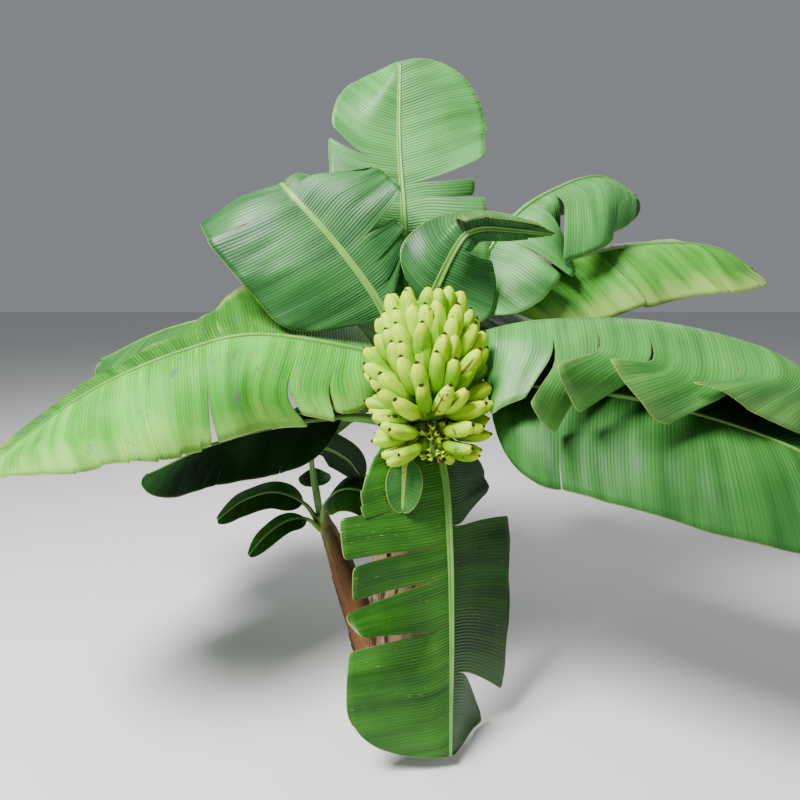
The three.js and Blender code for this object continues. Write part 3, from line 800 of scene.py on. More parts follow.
@dataclass
class Leaf:
    """A leaf of the plant: a midrib on a smooth curve and two halves of blade torn into lobes.

    The azimuth is the way in degrees that it grows, and the rib's points run from its foot to its
    tip. The base and the tip are the shares of the blade where its full width begins and ends, and
    the base power, tip power and tip root say how full the blade is between there and its ends.
    Lean slants the veins towards the tip, and roll turns the blade about its rib, both in degrees
    from its foot to its tip. Corner cut, corner reach and margin wave shape the margin, lobe
    release is the share of a vein over which a lobe turns free, and flap and sag bend the strips.
    The pleats' height is the pleat floor, with the pleat gain more beside the midrib, where pleat
    fade is the share of a vein over which that fades, and pleat unevenness how much it varies.
    """

    name: str
    azimuth: float
    width: float
    rib: tuple[Point, ...]
    left: Half
    right: Half
    tone: Tone
    seed: int
    base: float = 0.22
    tip: float = 0.55
    lean: tuple[float, float] = (0.0, 55.0)
    roll: tuple[float, float] = (0.0, 0.0)
    blade_at: int = 1
    small: bool = False
    spotted_stalk: bool = False
    ripple: float = 0.017
    tear_spacing: float = 0.30
    columns: int = 15
    tear_depths: tuple[float, ...] = (0.06, 0.1, 0.16, 0.3)
    tear_gap: float = 0.35
    lobe_gap: float = 0.9
    corner_cut: float = 0.022
    corner_reach: tuple[float, float] = (0.004, 0.016)
    margin_wave: float = 0.010
    lobe_release: float = 0.35
    flap: float = 9.0
    fold_power: float = 0.8
    sag: float = 13.0
    vein_lean_gain: float = 12.0
    vein_bow: float = 12.0
    pleat_floor: float = 0.22
    pleat_gain: float = 1.5
    pleat_fade: float = 0.3
    pleat_unevenness: float = 0.9
    base_power: float = 2.2
    tip_power: float = 2.3
    tip_root: float = 1.5
    narrowest_part: float = 0.05
    rib_radii: tuple[float, float] = (0.0135, 0.0045)
    stalk_radii: tuple[float, float] = (0.024, 0.0145)
    brim: float = 0.28
    channel_depth: tuple[float, float] = (0.75, 0.5)
    channel_width: float = 0.5
    stalk_rows: int = 70
    stalk_sides: int = 20
    small_stalk: float = 0.62
    small_stalk_rows: int = 36
    merge_distance: float = 8e-5
    track: Track = field(init=False)
    blade_start: float = field(init=False)
    blade_length: float = field(init=False)
    chance: random.Random = field(init=False)

    def __post_init__(self) -> None:
        """Works out the track and where the blade starts on it."""
        self.track = Track(self.rib, self.azimuth)
        self.blade_start = self.track.share_at_knot(self.blade_at)
        self.blade_length = self.track.length * (1 - self.blade_start)
        self.chance = random.Random(self.seed)

    def spot(self, share: float) -> Spot:
        """Returns the rolled spot at a share of the blade.

        Args:
            share: The share of the blade.

        Returns:
            The spot there, turned by the blade's roll.
        """
        spot = self.track.at(mix(self.blade_start, 1, share))
        roll = math.radians(mix(*self.roll, min(max(share, 0.0), 1.0)))
        normal = spot.normal * math.cos(roll) + spot.side * math.sin(roll)
        side = spot.side * math.cos(roll) - spot.normal * math.sin(roll)
        return Spot(spot.point, spot.direction, side, normal)

    def half_width(self, share: float) -> float:
        """Returns half the blade's width at a share of its length.

        Args:
            share: The share of the blade.

        Returns:
            The width from the midrib to the margin.
        """
        part = 1.0
        if share < self.base:
            part = math.sqrt(max(0.0, 1 - (1 - share / self.base) ** self.base_power))
        if share > self.tip:
            past = (share - self.tip) / (1 - self.tip)
            part = min(part, max(0.0, 1 - past ** self.tip_power) ** (1 / self.tip_root))
        return self.width / 2 * max(part, self.narrowest_part)

    def strips(self, half: Half) -> list[Strip]:
        """Cuts each lobe of a half into strips by shorter tears from the margin inwards.

        Args:
            half: The half of blade.

        Returns:
            Its strips from the foot to the tip.
        """
        strips = []
        grain = PLEAT / self.blade_length
        start = 0.0
        opened = 0.0
        for number, lobe in enumerate(half.lobes):
            last_lobe = number == len(half.lobes) - 1
            closed = 0.0 if last_lobe else lobe.tear
            cuts = [start]
            while self.tear_spacing:
                step = self.tear_spacing * self.chance.uniform(0.35, 1.5) / self.blade_length
                cut = round((cuts[-1] + step) / grain) * grain
                if cut > lobe.to - 2.5 * grain:
                    break
                cuts.append(cut)
            cuts.append(lobe.to)
            opens = [opened if number else NO_TEAR]
            for _ in cuts[1:-1]:
                opens.append(1 - self.chance.choice(self.tear_depths) * self.chance.uniform(0.6, 1.2))
            opens.append(NO_TEAR if last_lobe else closed)
            gaps = [self.lobe_gap, *(self.tear_gap for _ in cuts[1:-1]), self.lobe_gap]
            for place, (first, last) in enumerate(zip(cuts, cuts[1:])):
                flap = self.chance.uniform(-1, 1)
                sides = (opens[place], opens[place + 1], flap, start, lobe.to, opened, closed)
                strips.append(Strip(lobe, first, last, *sides, gaps[place], gaps[place + 1]))
            start = lobe.to
            opened = closed
        return strips

    def margin_part(self, strip: Strip, share: float) -> float:
        """Returns the part of the reach that is left where the corners beside a tear are rounded.

        Args:
            strip: The strip of blade.
            share: The share of the blade.

        Returns:
            The part that is left, at most 1.
        """
        part = 1.0
        for place, opening in ((strip.start, strip.open_start), (strip.stop, strip.open_stop)):
            if opening < NO_TEAR:
                gap = abs(share - place) * self.blade_length
                depth = 1 - opening
                near, far = (math.exp(-gap / reach) for reach in self.corner_reach)
                part -= self.corner_cut * near * min(1.0, depth * 2)
                part -= self.corner_cut * far * smooth(0.45, 0.8, depth)
        return part

    def vein(self, sign: int, half: Half, strip: Strip, share: float) -> list[tuple[Vector, Vector]]:
        """Follows one vein from the midrib to the margin.

        Args:
            sign: 1 for the left half, -1 for the right.
            half: The half of blade.
            strip: The strip that the vein is in.
            share: Where the vein leaves the midrib.

        Returns:
            Its points with the blade's normal at each, one more than the columns.
        """
        lobe = strip.lobe
        spot = self.spot(share)
        metres = share * self.blade_length
        reach = self.half_width(share) * self.margin_part(strip, share)
        reach *= 1 + self.margin_wave * wave(self.seed, metres * 14, sign)
        place = (share - strip.begin) / (strip.end - strip.begin)
        centred = 2 * place - 1
        opening = mix(strip.lobe_open, strip.lobe_close, place)
        inside = (share - strip.start) / (strip.stop - strip.start)
        torn = min(mix(strip.open_start, strip.open_stop, inside), 1.0)
        lean = mix(*self.lean, share ** 5) + self.vein_lean_gain * share
        points = [(spot.point, spot.normal)]
        for column in range(self.columns):
            out = (column + 0.5) / self.columns
            own = smooth(opening, opening + self.lobe_release, out)
            free = smooth(torn, 1.0, out) if torn < 1 else 0.0
            start_gap = strip.gap_start if out > strip.open_start else 0.0
            stop_gap = strip.gap_stop if out > strip.open_stop else 0.0
            fold = mix(half.root, half.edge, min(out / half.bend, 1.0) ** self.fold_power)
            fold += own * (lobe.hang + lobe.twist * centred + lobe.curl * out * out)
            fold += self.flap * strip.flap * free
            fold += self.sag * wave(self.seed + 3, metres * 7, out * 1.3 + sign * 5) * out
            sweep = lean + self.vein_bow * out + own * (lobe.swing + lobe.fan * centred)
            sweep += mix(start_gap, -stop_gap, inside)
            angle = math.radians(fold)
            turn = math.radians(sweep)
            level = spot.side * (sign * math.cos(angle)) + spot.normal * math.sin(angle)
            above = spot.normal * math.cos(angle) - spot.side * (sign * math.sin(angle))
            heading = level * math.cos(turn) + spot.direction * math.sin(turn)
            stretch = 1.0
            if out > opening:
                stretch += (lobe.size - 1) / (1 - opening)
            points.append((points[-1][0] + heading * (reach * stretch / self.columns), above))
        return points

    def pleat(self, metres: float, out: float) -> float:
        """Returns the height of the pleats, which a small blade doesn't have.

        Args:
            metres: The distance along the blade.
            out: The share of the vein.

        Returns:
            The height above the blade's surface.
        """
        if self.small:
            return 0.0
        height = PLEAT_HEIGHT * math.sin(FULL_TURN * metres / PLEAT)
        height *= self.pleat_floor + self.pleat_gain * math.exp(-out / self.pleat_fade)
        fine = wave(self.seed + 9, metres * 70)
        broad = wave(self.seed + 8, metres * 13, out * 2)
        height *= 1 + self.pleat_unevenness * fine + self.pleat_unevenness * broad
        return height * smooth(0.0, 0.07, out)

    def strip_grid(self, piece: Piece, sign: int, half: Half, strip: Strip) -> None:
        """Adds one strip of blade, pleated along its veins.

        Args:
            piece: The piece that it joins.
            sign: 1 for the left half, -1 for the right.
            half: The half of blade.
            strip: The strip of it.
        """
        quarter = PLEAT / ROWS_PER_PLEAT / self.blade_length * (2 if self.small else 1)
        shares = [strip.start]
        mark = math.ceil(strip.start / quarter + 0.3) * quarter
        while mark < strip.stop - 0.3 * quarter:
            shares.append(mark)
            mark += quarter
        shares.append(strip.stop)
        veins = [self.vein(sign, half, strip, share) for share in shares]

        def place(row: int, column: int) -> Place:
            """Gives a point of the strip, raised or lowered by its pleat and ripple.

            Args:
                row: The row of the grid.
                column: The column of the grid.

            Returns:
                The point and the numbers that it carries.
            """
            point, above = veins[row][column]
            out = column / self.columns
            share = shares[row]
            metres = share * self.blade_length
            height = self.pleat(metres, out)
            height += self.ripple * wave(self.seed, metres * 9, out * 1.1 + sign * 3) * smooth(0.0, 0.9, out)
            height += 0.3 * self.ripple * wave(self.seed + 1, metres * 26, out * 1.6 + sign * 3) * out
            reach = self.half_width(share) * strip.lobe.size
            gaps = [FAR_FROM_TEAR]
            if out >= strip.open_start:
                gaps.append(metres - strip.start * self.blade_length)
            if out >= strip.open_stop:
                gaps.append(strip.stop * self.blade_length - metres)
            numbers = {
                "along": metres,
                "across": reach * out * sign,
                "edge": reach * (1 - out),
                "tear": min(gaps),
            }
            point = point + above * height
            point.z = max(point.z, LOWEST)
            return point, numbers

        piece.grid(len(shares) - 1, self.columns, place, turned=sign < 0)

    def blade(self, palette: Palette, stands_for: Sequence[str]) -> bpy.types.Object:
        """Makes the torn blade as a thin sheet with an upper and a lower skin.

        Args:
            palette: The plant's materials.
            stands_for: The solids that it replaces.

        Returns:
            The finished object.
        """
        piece = Piece(self.name + "_blade_leaf", "along", "across", "edge", "tear")
        for sign, half in ((1, self.left), (-1, self.right)):
            for strip in self.strips(half):
                self.strip_grid(piece, sign, half, strip)
        piece.merge(self.merge_distance)
        skins = (palette.tones[self.tone], palette.tones[Tone.UNDER])
        thing = piece.finish("leaf", *skins, stands_for=stands_for)
        sheet = thing.modifiers.new("blade_thickness", "SOLIDIFY")
        sheet.thickness = BLADE_THICKNESS
        sheet.offset = -1
        sheet.material_offset = 1
        sheet.use_rim = True
        return thing

    def stalk(self, palette: Palette, stands_for: Sequence[str]) -> bpy.types.Object:
        """Makes the channelled stalk and the midrib that it runs out into.

        Args:
            palette: The plant's materials.
            stands_for: The solids that it replaces.

        Returns:
            The finished object.
        """
        piece = Piece(self.name + "_stalk_skin", "along", "around")
        start = self.blade_start
        scale = self.small_stalk if self.small else 1.0
        rows = self.small_stalk_rows if self.small else self.stalk_rows

        def place(share: float, turn: float) -> Place:
            """Gives a point of the stalk's skin, flatter above than below and channelled there.

            Args:
                share: The share of the length.
                turn: The share of the turn round it.

            Returns:
                The point and the numbers that it carries.
            """
            spot = self.track.at(share)
            plain = mix(*self.stalk_radii, min(share / start, 1.0))
            radius = plain
            if share > start:
                past = (share - start) / (1 - start)
                spot = self.spot(past)
                radius = mix(*self.rib_radii, past ** 0.8)
            blade = smooth(start * 0.9, start * 1.1, share)
            radius = mix(plain, radius, blade) * scale
            angle = FULL_TURN * turn
            across = math.cos(angle)
            up = math.sin(angle)
            height = up * mix(0.9, 1.0, blade)
            if up > 0:
                channel = math.exp(-(across / self.channel_width) ** 2) * mix(*self.channel_depth, blade)
                height = up * 0.5 + self.brim - channel * up
            height += mix(0.1, 0.05, blade)
            point = spot.point + spot.side * (across * radius) + spot.normal * (height * radius)
            return point, {"along": share * self.track.length, "around": turn}

        piece.tube(rows, self.stalk_sides, place)
        skin = palette.bract if self.spotted_stalk else palette.stalk
        return piece.finish("stalk", skin, stands_for=stands_for)


@dataclass
class Stem:
    """A stem of rolled leaf sheaths, whose margins run up it and overlap.

    Margin height is how far a sheath's margin stands out, swell the stem's unevenness as a share
    of its radius, fibre the height of its fibres, and sheath turn the share of a full turn from
    one sheath to the next. Margin waver is how far in radians a margin wanders, margin rise and
    margin fade are the angles over which it rises and falls back, and set back is how far the
    skin between the margins lies inside the radius.
    """

    name: str
    axis: tuple[Point, ...]
    radii: Rows
    margins: int
    seed: int
    rows: int = 260
    sides: int = 150
    margin_height: float = 0.0045
    swell: float = 0.035
    fibre: float = 0.0005
    sheath_turn: float = 0.382
    margin_waver: float = 0.08
    margin_rise: float = 0.03
    margin_fade: float = 0.55
    set_back: float = 0.001
    track: Track = field(init=False)
    lines: list[tuple[float, float, float, float]] = field(init=False)

    def __post_init__(self) -> None:
        """Lays the margins round the stem, each with its turn, slant and reach up the stem."""
        self.track = Track(self.axis)
        chance = random.Random(self.seed)
        self.lines = []
        for number in range(self.margins):
            turn = FULL_TURN * number * self.sheath_turn + chance.uniform(-0.3, 0.3)
            slant = chance.choice((-1, 1)) * chance.uniform(0.5, 1.5)
            foot = chance.uniform(-0.3, 0.35)
            self.lines.append((turn, slant, foot, foot + chance.uniform(0.45, 0.9)))

    def relief(self, share: float, angle: float, radius: float) -> tuple[float, float]:
        """Works out how far the sheaths stand out.

        Args:
            share: The share of the stem's length.
            angle: The angle round the stem.
            radius: The plain radius there.

        Returns:
            The height above the plain radius, and the distance to the nearest margin.
        """
        height = 0.0
        nearest = 1.0
        for turn, slant, foot, top in self.lines:
            line = turn + slant * (share - foot) + self.margin_waver * wave(self.seed + turn, share * 9)
            past = (angle - line) * math.copysign(1.0, slant) % FULL_TURN
            window = smooth(foot, foot + 0.05, share) * (1 - smooth(top - 0.04, top, share))
            rise = smooth(0.0, self.margin_rise, past)
            height += self.margin_height * window * math.exp(-past / self.margin_fade) * rise
            if window > 0.4:
                nearest = min(nearest, past * radius)
        return height, nearest

    def build(self, skin: bpy.types.Material, stands_for: Sequence[str]) -> bpy.types.Object:
        """Makes the stem as one relief mesh.

        Args:
            skin: The material of its sheaths.
            stands_for: The solids that it replaces.

        Returns:
            The finished object.
        """
        piece = Piece(self.name, "along", "around", "edge")

        def place(share: float, turn: float) -> Place:
            """Gives a point of the stem's skin.

            Args:
                share: The share of the length.
                turn: The share of the turn round it.

            Returns:
                The point and the numbers that it carries.
            """
            spot = self.track.at(share)
            angle = FULL_TURN * turn
            radius = profile(self.radii, share)
            height, nearest = self.relief(share, angle, radius)
            flute = wave(self.seed, math.cos(angle) * 1.6 + share * 1.5, math.sin(angle) * 1.6)
            fibre = wave(self.seed + 5, math.cos(angle) * 34, math.sin(angle) * 34 + share * 3)
            rim = smooth(0.0, 0.02, share) * (1 - 0.5 * smooth(0.96, 1.0, share))
            out = radius * (1 + self.swell * flute * rim)
            out += (height - self.set_back + self.fibre * fibre) * rim
            point = spot.point + out * spot.outward(angle)
            point.z = 0.0 if share == 0 else max(point.z, 0.0)
            return point, {"along": share * self.track.length, "around": turn, "edge": nearest}

        piece.tube(self.rows, self.sides, place)
        return piece.finish("pseudostem", skin, stands_for=stands_for)


@dataclass(frozen=True)
class DryStrip:
    """One dry strip of old sheath that hangs beside the stem.

    Its top and bottom are shares of the stem's length, stand off is how far its foot hangs from
    the stem, and curl how far its edges bend out, or in where it is below zero.
    """

    azimuth: float
    top: float
    bottom: float
    width: float
    stand_off: float
    curl: float


@dataclass
class DryStrips:
    """The dry strips of old sheath round the stem.

    Clearance is a strip's distance from the stem at its top, crumple the height of its waves,
    raggedness how much its width varies, and drift how far in radians its foot wanders round the
    stem.
    """

    stem: Stem
    strips: tuple[DryStrip, ...]
    rows: int = 70
    columns: int = 12
    thickness: float = 0.0012
    clearance: float = 0.004
    crumple: float = 0.004
    raggedness: float = 0.3
    drift: float = 0.35

    def build(self, palette: Palette) -> bpy.types.Object:
        """Makes all strips as one piece.

        Args:
            palette: The plant's materials.

        Returns:
            The finished object.
        """
        piece = Piece("dry_sheath_strips", "along", "around")
        for number, strip in enumerate(self.strips):
            self._strip(piece, number, strip)
        thing = piece.finish("pseudostem", palette.strip)
        sheet = thing.modifiers.new("strip_thickness", "SOLIDIFY")
        sheet.thickness = self.thickness
        return thing

    def _strip(self, piece: Piece, number: int, strip: DryStrip) -> None:
        """Adds one strip, narrow at its foot, curled across and wavy along.

        Args:
            piece: The piece that it joins.
            number: The strip's number, which seeds its waves.
            strip: Its sizes.
        """
        middle = math.radians(strip.azimuth)

        def place(row: int, column: int) -> Place:
            """Gives a point of the strip.

            Args:
                row: The row of the grid.
                column: The column of the grid.

            Returns:
                The point and the numbers that it carries.
            """
            down = row / self.rows
            across = column / self.columns * 2 - 1
            share = mix(strip.top, strip.bottom, down)
            spot = self.stem.track.at(share)
            radius = profile(self.stem.radii, share)
            taper = smooth(-0.05, 0.2, down) * (1 - 0.75 * smooth(0.45, 1.0, down))
            ragged = 1 + self.raggedness * wave(number + 2, down * 9, math.copysign(2, across))
            half = strip.width / 2 * taper * ragged
            drift = self.drift * wave(number + 20, down * 2.2) * down
            angle = middle + drift + across * half / radius
            crumple = self.crumple * wave(number + 40, down * 8, across * 1.5)
            out = radius + self.clearance
            out += strip.stand_off * smooth(0.05, 0.9, down) * (0.6 + 0.4 * down)
            out += strip.curl * half * across * across + crumple
            level = Vector((math.cos(angle), math.sin(angle), 0.0))
            point = Vector((spot.point.x, spot.point.y, 0.0)) + level * out
            point.z = max(spot.point.z, LOWEST)
            return point, {"along": down * (strip.top - strip.bottom), "around": across * half * 8}

        piece.grid(self.rows, self.columns, place)


@dataclass
class BunchStalk:
    """The bunch's stalk, which arches out of the stem's top and hangs down through the bunch.

    Scars are the rings that old bracts left, and scar depth and scar width are shares of the
    stalk's radius and of a ring's wave. Fringe counts the dry flowers and fingers the small fruit
    at its end, and finger turn is the share of a full turn from one of these to the next. The
    lengths and radii are the least and the most of them, and the steps how many faces one has
    along and round it. Ring lengths are those of the fruit in the lowest ring.
    """

    axis: tuple[Point, ...]
    radii: tuple[float, float] = (0.024, 0.0145)
    scars: int = 16
    rows: int = 130
    sides: int = 22
    fringe: int = 46
    fingers: int = 57
    finger_turn: float = 0.381966
    scar_depth: float = 0.10
    scar_width: float = 0.12
    lump: float = 0.06
    flower_lengths: tuple[float, float] = (0.016, 0.034)
    flower_radii: tuple[float, float] = (0.0011, 0.0024)
    flower_steps: tuple[int, int] = (8, 6)
    finger_lengths: tuple[float, float] = (0.028, 0.044)
    ring_lengths: tuple[float, float] = (0.024, 0.038)
    finger_radii: tuple[float, float] = (0.0052, 0.0078)
    finger_steps: tuple[int, int] = (10, 8)
    seed: int = 77
    track: Track = field(init=False)

    def __post_init__(self) -> None:
        """Works out the stalk's track."""
        self.track = Track(self.axis)

    def build(self, palette: Palette) -> None:
        """Makes the stalk, and the dry flowers and small fruit at its end.

        Args:
            palette: The plant's materials.
        """
        piece = Piece("bunch_stalk", "along", "around")

        def place(share: float, turn: float) -> Place:
            """Gives a point of the stalk's skin, ringed by the scars of old bracts.

            Args:
                share: The share of the length.
                turn: The share of the turn round it.

            Returns:
                The point and the numbers that it carries.
            """
            spot = self.track.at(share)
            angle = FULL_TURN * turn
            ring = abs(math.sin(math.pi * self.scars * share))
            radius = mix(*self.radii, share) * (1 - 0.45 * smooth(0.975, 1.0, share))
            lump = self.lump * wave(self.seed, angle * 0.8, share * 14)
            radius *= 1 + lump - self.scar_depth * math.exp(-(ring / self.scar_width) ** 2)
            point = spot.point + radius * spot.outward(angle)
            return point, {"along": share * self.track.length, "around": turn}

        piece.tube(self.rows, self.sides, place)
        piece.finish("stalk", palette.peduncle, stands_for=["peduncle"])
        self._flowers(palette)
        self._fingers(palette)

    def _shoot(
        self, piece: Piece, steps: tuple[int, int], root: Spot, sag: Vector,
        radius_at: Callable[[float], float], numbers_at: Callable[[float, float], dict[str, float]],
    ) -> None:
        """Adds a short bent shoot.

        Args:
            piece: The piece that it joins.
            steps: How many faces it has along its length and round it.
            root: Its foot, with its whole length in the direction, and its side and normal.
            sag: How far its tip is pulled aside.
            radius_at: Gives its radius at a share of its length.
            numbers_at: Gives its numbers at a share of its length and of the turn.
        """

        def place(along: float, turn: float) -> Place:
            """Gives a point of the shoot's skin.

            Args:
                along: The share of the length.
                turn: The share of the turn round it.

            Returns:
                The point and the numbers that it carries.
            """
            middle = root.point + root.direction * along + sag * (along * along)
            point = middle + radius_at(along) * root.outward(FULL_TURN * turn)
            return point, numbers_at(along, turn)

        piece.tube(*steps, place, merge=1e-6)

    def _flowers(self, palette: Palette) -> None:
        """Makes the dry flowers and bract scraps round the stalk's end.

        Args:
            palette: The plant's materials.
        """
        piece = Piece("dry_flowers", "along", "around")
        chance = random.Random(self.seed)
        for number in range(self.fringe):
            share = chance.uniform(0.9, 1.0)
            spot = self.track.at(share)
            outward = spot.outward(chance.uniform(0, FULL_TURN))
            length = chance.uniform(*self.flower_lengths)
            radius = chance.uniform(*self.flower_radii)
            foot = spot.point + outward * mix(*self.radii, share) * 0.8
            flare = chance.uniform(0.35, 1.0)
            bend = chance.uniform(-0.4, 0.5)

            heading = (spot.direction * (1 - 0.3 * flare) + outward * flare).normalized()
            side = heading.cross(spot.direction.orthogonal()).normalized()
            root = Spot(foot, heading * length, side, heading.cross(side))

            def radius_at(along: float) -> float:
                """Gives the radius of a thin strand with a club at its end."""
                club = 0.7 + 0.9 * smooth(0.55, 0.9, along)
                return radius * club * (1 - 0.8 * smooth(0.93, 1.0, along))

            def numbers_at(along: float, turn: float) -> dict[str, float]:
                """Gives the numbers of a dry flower."""
                return {"along": along, "around": turn}

            sag = outward * (bend * length * 0.6)
            self._shoot(piece, self.flower_steps, root, sag, radius_at, numbers_at)
        piece.finish("stalk", palette.flower)

    def _fingers(self, palette: Palette) -> None:
        """Makes the small fruit that stayed undeveloped round the stalk's end.

        Args:
            palette: The plant's materials.
        """
        piece = Piece("small_fruit", "along", "around", "mark")
        chance = random.Random(self.seed + 1)
        for number in range(self.fingers):
            low_ring = number % 3 == 0
            share = chance.uniform(0.955, 0.985) if low_ring else chance.uniform(0.84, 0.945)
            spot = self.track.at(share)
            outward = spot.outward(FULL_TURN * (number * self.finger_turn + chance.uniform(-0.02, 0.02)))
            length = chance.uniform(*(self.ring_lengths if low_ring else self.finger_lengths))
            radius = chance.uniform(*self.finger_radii)
            foot = spot.point + outward * mix(*self.radii, share) * 0.7
            droop = chance.uniform(0.5, 0.9) if low_ring else chance.uniform(-0.2, 0.35)
            heading = (outward + spot.direction * droop).normalized()
            side = heading.cross(spot.direction).normalized()
            root = Spot(foot, heading * length, side, heading.cross(side))
            mark = chance.uniform(0.3, 0.7)

            def radius_at(along: float) -> float:
                """Gives the radius of a small fruit, thin at its foot and blunt at its tip."""
                body = 0.6 + 0.4 * smooth(0.1, 0.6, along)
                return radius * body * (1 - 0.45 * smooth(0.86, 0.95, along))

            def numbers_at(along: float, turn: float) -> dict[str, float]:
                """Gives the numbers of a small fruit, whose tip shows black."""
                return {"along": 0.4 + 0.62 * along, "around": FULL_TURN * turn, "mark": mark}

            sag = spot.direction * (-0.25 * length)
            self._shoot(piece, self.finger_steps, root, sag, radius_at, numbers_at)
        piece.finish("fruit", palette.fruit)


@dataclass
class Hand:
    """One hand of fruit: two rows of curved fruit on a crescent cushion round the bunch's stalk.

    The lifts are the angles in radians at which the fruit of the first and the last hand leave the
    cushion, front lift and row lift are added to them, and bend is the angle by which a fruit
    curves up. The step and the turns are in degrees. Within the front gap there is no fruit, and
    the cushion draws back over the front slope. Waist is the girth of a fruit's neck and blunt
    from the share of its length past which it narrows. Turn spread in degrees and lift spread in
    radians are how far a fruit may stray from its place.
    """

    index: int
    count: int
    size: float
    centre: Vector
    up: Vector
    first_lift: float
    last_lift: float
    hands: int
    fruit_step: float = 21.5
    hand_turn: float = 22.5
    cushion_radius: float = 0.046
    cushion_inset: float = 0.008
    cushion_depth: float = 0.016
    cushion_height: float = 0.019
    cushion_steps: tuple[int, int] = (40, 12)
    row_gap: float = 0.006
    length: float = 0.148
    girth: float = 0.0228
    bend: float = 0.66
    front_gap: float = 0.0
    front_slope: float = 12.0
    front_lift: float = 0.55
    row_lift: float = 0.06
    turn_spread: float = 3.0
    lift_spread: float = 0.12
    waist: float = 0.42
    blunt_from: float = 0.56
    stub_at: float = 0.945
    ridges: int = FRUIT_RIDGES
    ridge_height: float = 0.06
    rings: int = 26
    segments: int = 20
    seed: int = 500

    def facing(self, degrees: float) -> Vector:
        """Returns the outward direction at a turn from the front.

        Args:
            degrees: The turn from the front.

        Returns:
            The direction, square to the stalk.
        """
        front = Vector((0.0, -1.0, 0.0)) + self.up * self.up.y
        front.normalize()
        side = self.up.cross(front)
        angle = math.radians(degrees)
        return front * math.cos(angle) + side * math.sin(angle)

    def turn_at(self, place: float) -> float:
        """Returns the turn of a fruit's place in the hand."""
        turn = self.hand_turn if self.index % 2 else -self.hand_turn
        return turn + (place - (self.count - 1) / 2) * self.fruit_step

    def build(self, palette: Palette) -> bpy.types.Object:
        """Makes the hand as one piece.

        Args:
            palette: The plant's materials.

        Returns:
            The finished object.
        """
        piece = Piece(f"fruit_hand_{self.index + 1}_fine", "along", "around", "mark")
        chance = random.Random(self.seed + self.index)
        self._cushion(piece)
        for place in range(self.count):
            if abs(self.turn_at(place)) > self.front_gap:
                self._fruit(piece, place, chance)
        return piece.finish("fruit", palette.fruit, stands_for=[f"fruit_hand_{self.index + 1}"])

    def _cushion(self, piece: Piece) -> None:
        """Adds the crescent that the fruit grow from.

        Args:
            piece: The piece that it joins.
        """
        start = self.turn_at(-0.3)
        stop = self.turn_at(self.count - 0.7)

        def place(share: float, turn: float) -> Place:
            """Gives a point of the crescent's skin.

            Args:
                share: The share of the length.
                turn: The share of the turn round it.

            Returns:
                The point and the numbers that it carries.
            """
            degrees = mix(start, stop, share)
            outward = self.facing(degrees)
            angle = FULL_TURN * turn
            end = 0.35 + 0.65 * smooth(0.0, 0.06, share) * (1 - smooth(0.94, 1.0, share))
            open_front = smooth(self.front_gap - self.front_slope, self.front_gap, abs(degrees))
            reach = (self.cushion_radius * self.size - self.cushion_inset) * open_front
            reach += self.cushion_depth * math.cos(angle) * end
            rise = self.cushion_height * math.sin(angle) * end
            point = self.centre + outward * reach + self.up * rise
            return point, {"along": 0.1, "around": turn, "mark": 0.3}

        piece.tube(*self.cushion_steps, place)

    def _radius(self, girth: float, share: float, around: float) -> float:
        """Returns a fruit's radius, with a narrow neck, a blunt end and ridges.

        Args:
            girth: The fruit's largest radius.
            share: The share of its length.
            around: The angle round it from its first ridge.

        Returns:
            The radius there.
        """
        waist = mix(self.waist, 1.0, smooth(0.08, 0.34, share))
        blunt = min(1.0, max(0.0, (share - self.blunt_from) / (self.stub_at - self.blunt_from)))
        waist *= math.sqrt(1 - 0.93 * blunt ** 2.5)
        cap = min(1.0, math.sqrt(max(0.0, 1 - max(0.0, (share - 0.96) / 0.04) ** 2)))
        cap *= min(1.0, math.sqrt(max(0.0, 1 - max(0.0, (0.03 - share) / 0.03) ** 2)))
        ridge = math.cos(self.ridges * around) * smooth(0.1, 0.3, share)
        return girth * waist * cap * (1 + self.ridge_height * ridge)

    def _fruit(self, piece: Piece, place: int, chance: random.Random) -> None:
        """Adds one fruit, bent upwards, on a short stalk and with a dry stub at its tip.

        Args:
            piece: The piece that it joins.
            place: The fruit's place in the hand.
            chance: The hand's random numbers.
        """
        row = (place + self.index) % 2
        turn = self.turn_at(place)
        outward = self.facing(turn + chance.uniform(-self.turn_spread, self.turn_spread))
        base = self.centre + outward * (self.cushion_radius * self.size)
        base = base + self.up * ((0.5 - row) * self.row_gap)
        level = self.index / (self.hands - 1)
        lift = mix(self.first_lift, self.last_lift, level ** 0.75) + self.row_lift * (1 - 2 * row)
        to_front = max(0.0, math.cos(math.radians(turn)))
        stray = chance.uniform(-self.lift_spread, self.lift_spread)
        lift += stray + self.front_lift * to_front * math.sin(math.pi * level)
        across = outward.cross(self.up)
        length = self.length * self.size * chance.uniform(0.93, 1.05)
        girth = self.girth * self.size * chance.uniform(0.94, 1.05)
        phase = chance.uniform(0, FULL_TURN)
        yaw = chance.uniform(-0.10, 0.10)
        stub = chance.uniform(0.75, 1.25)
        mark = chance.random()
        sizes = {"u_segments": self.segments, "v_segments": self.rings, "radius": 1.0}
        made = bmesh.ops.create_uvsphere(piece.bm, **sizes)
        for vertex in made["verts"]:
            polar = math.acos(max(-1.0, min(1.0, -vertex.co.z)))
            share = polar / math.pi
            angle = math.atan2(vertex.co.y, vertex.co.x)
            radius = self._radius(girth, share, angle - phase)
            if share > self.stub_at:
                radius *= stub
            pitch = lift + self.bend * share
            middle_pitch = lift + self.bend * share / 2
            spine = outward * math.cos(middle_pitch) + self.up * math.sin(middle_pitch)
            normal = self.up * math.cos(pitch) - outward * math.sin(pitch)
            middle = base + spine * (length * share) + across * (yaw * length * share * share)
            point = middle + radius * Spot(middle, spine, across, normal).outward(angle)
            piece.put(vertex, point, {"along": share, "around": angle - phase, "mark": mark})
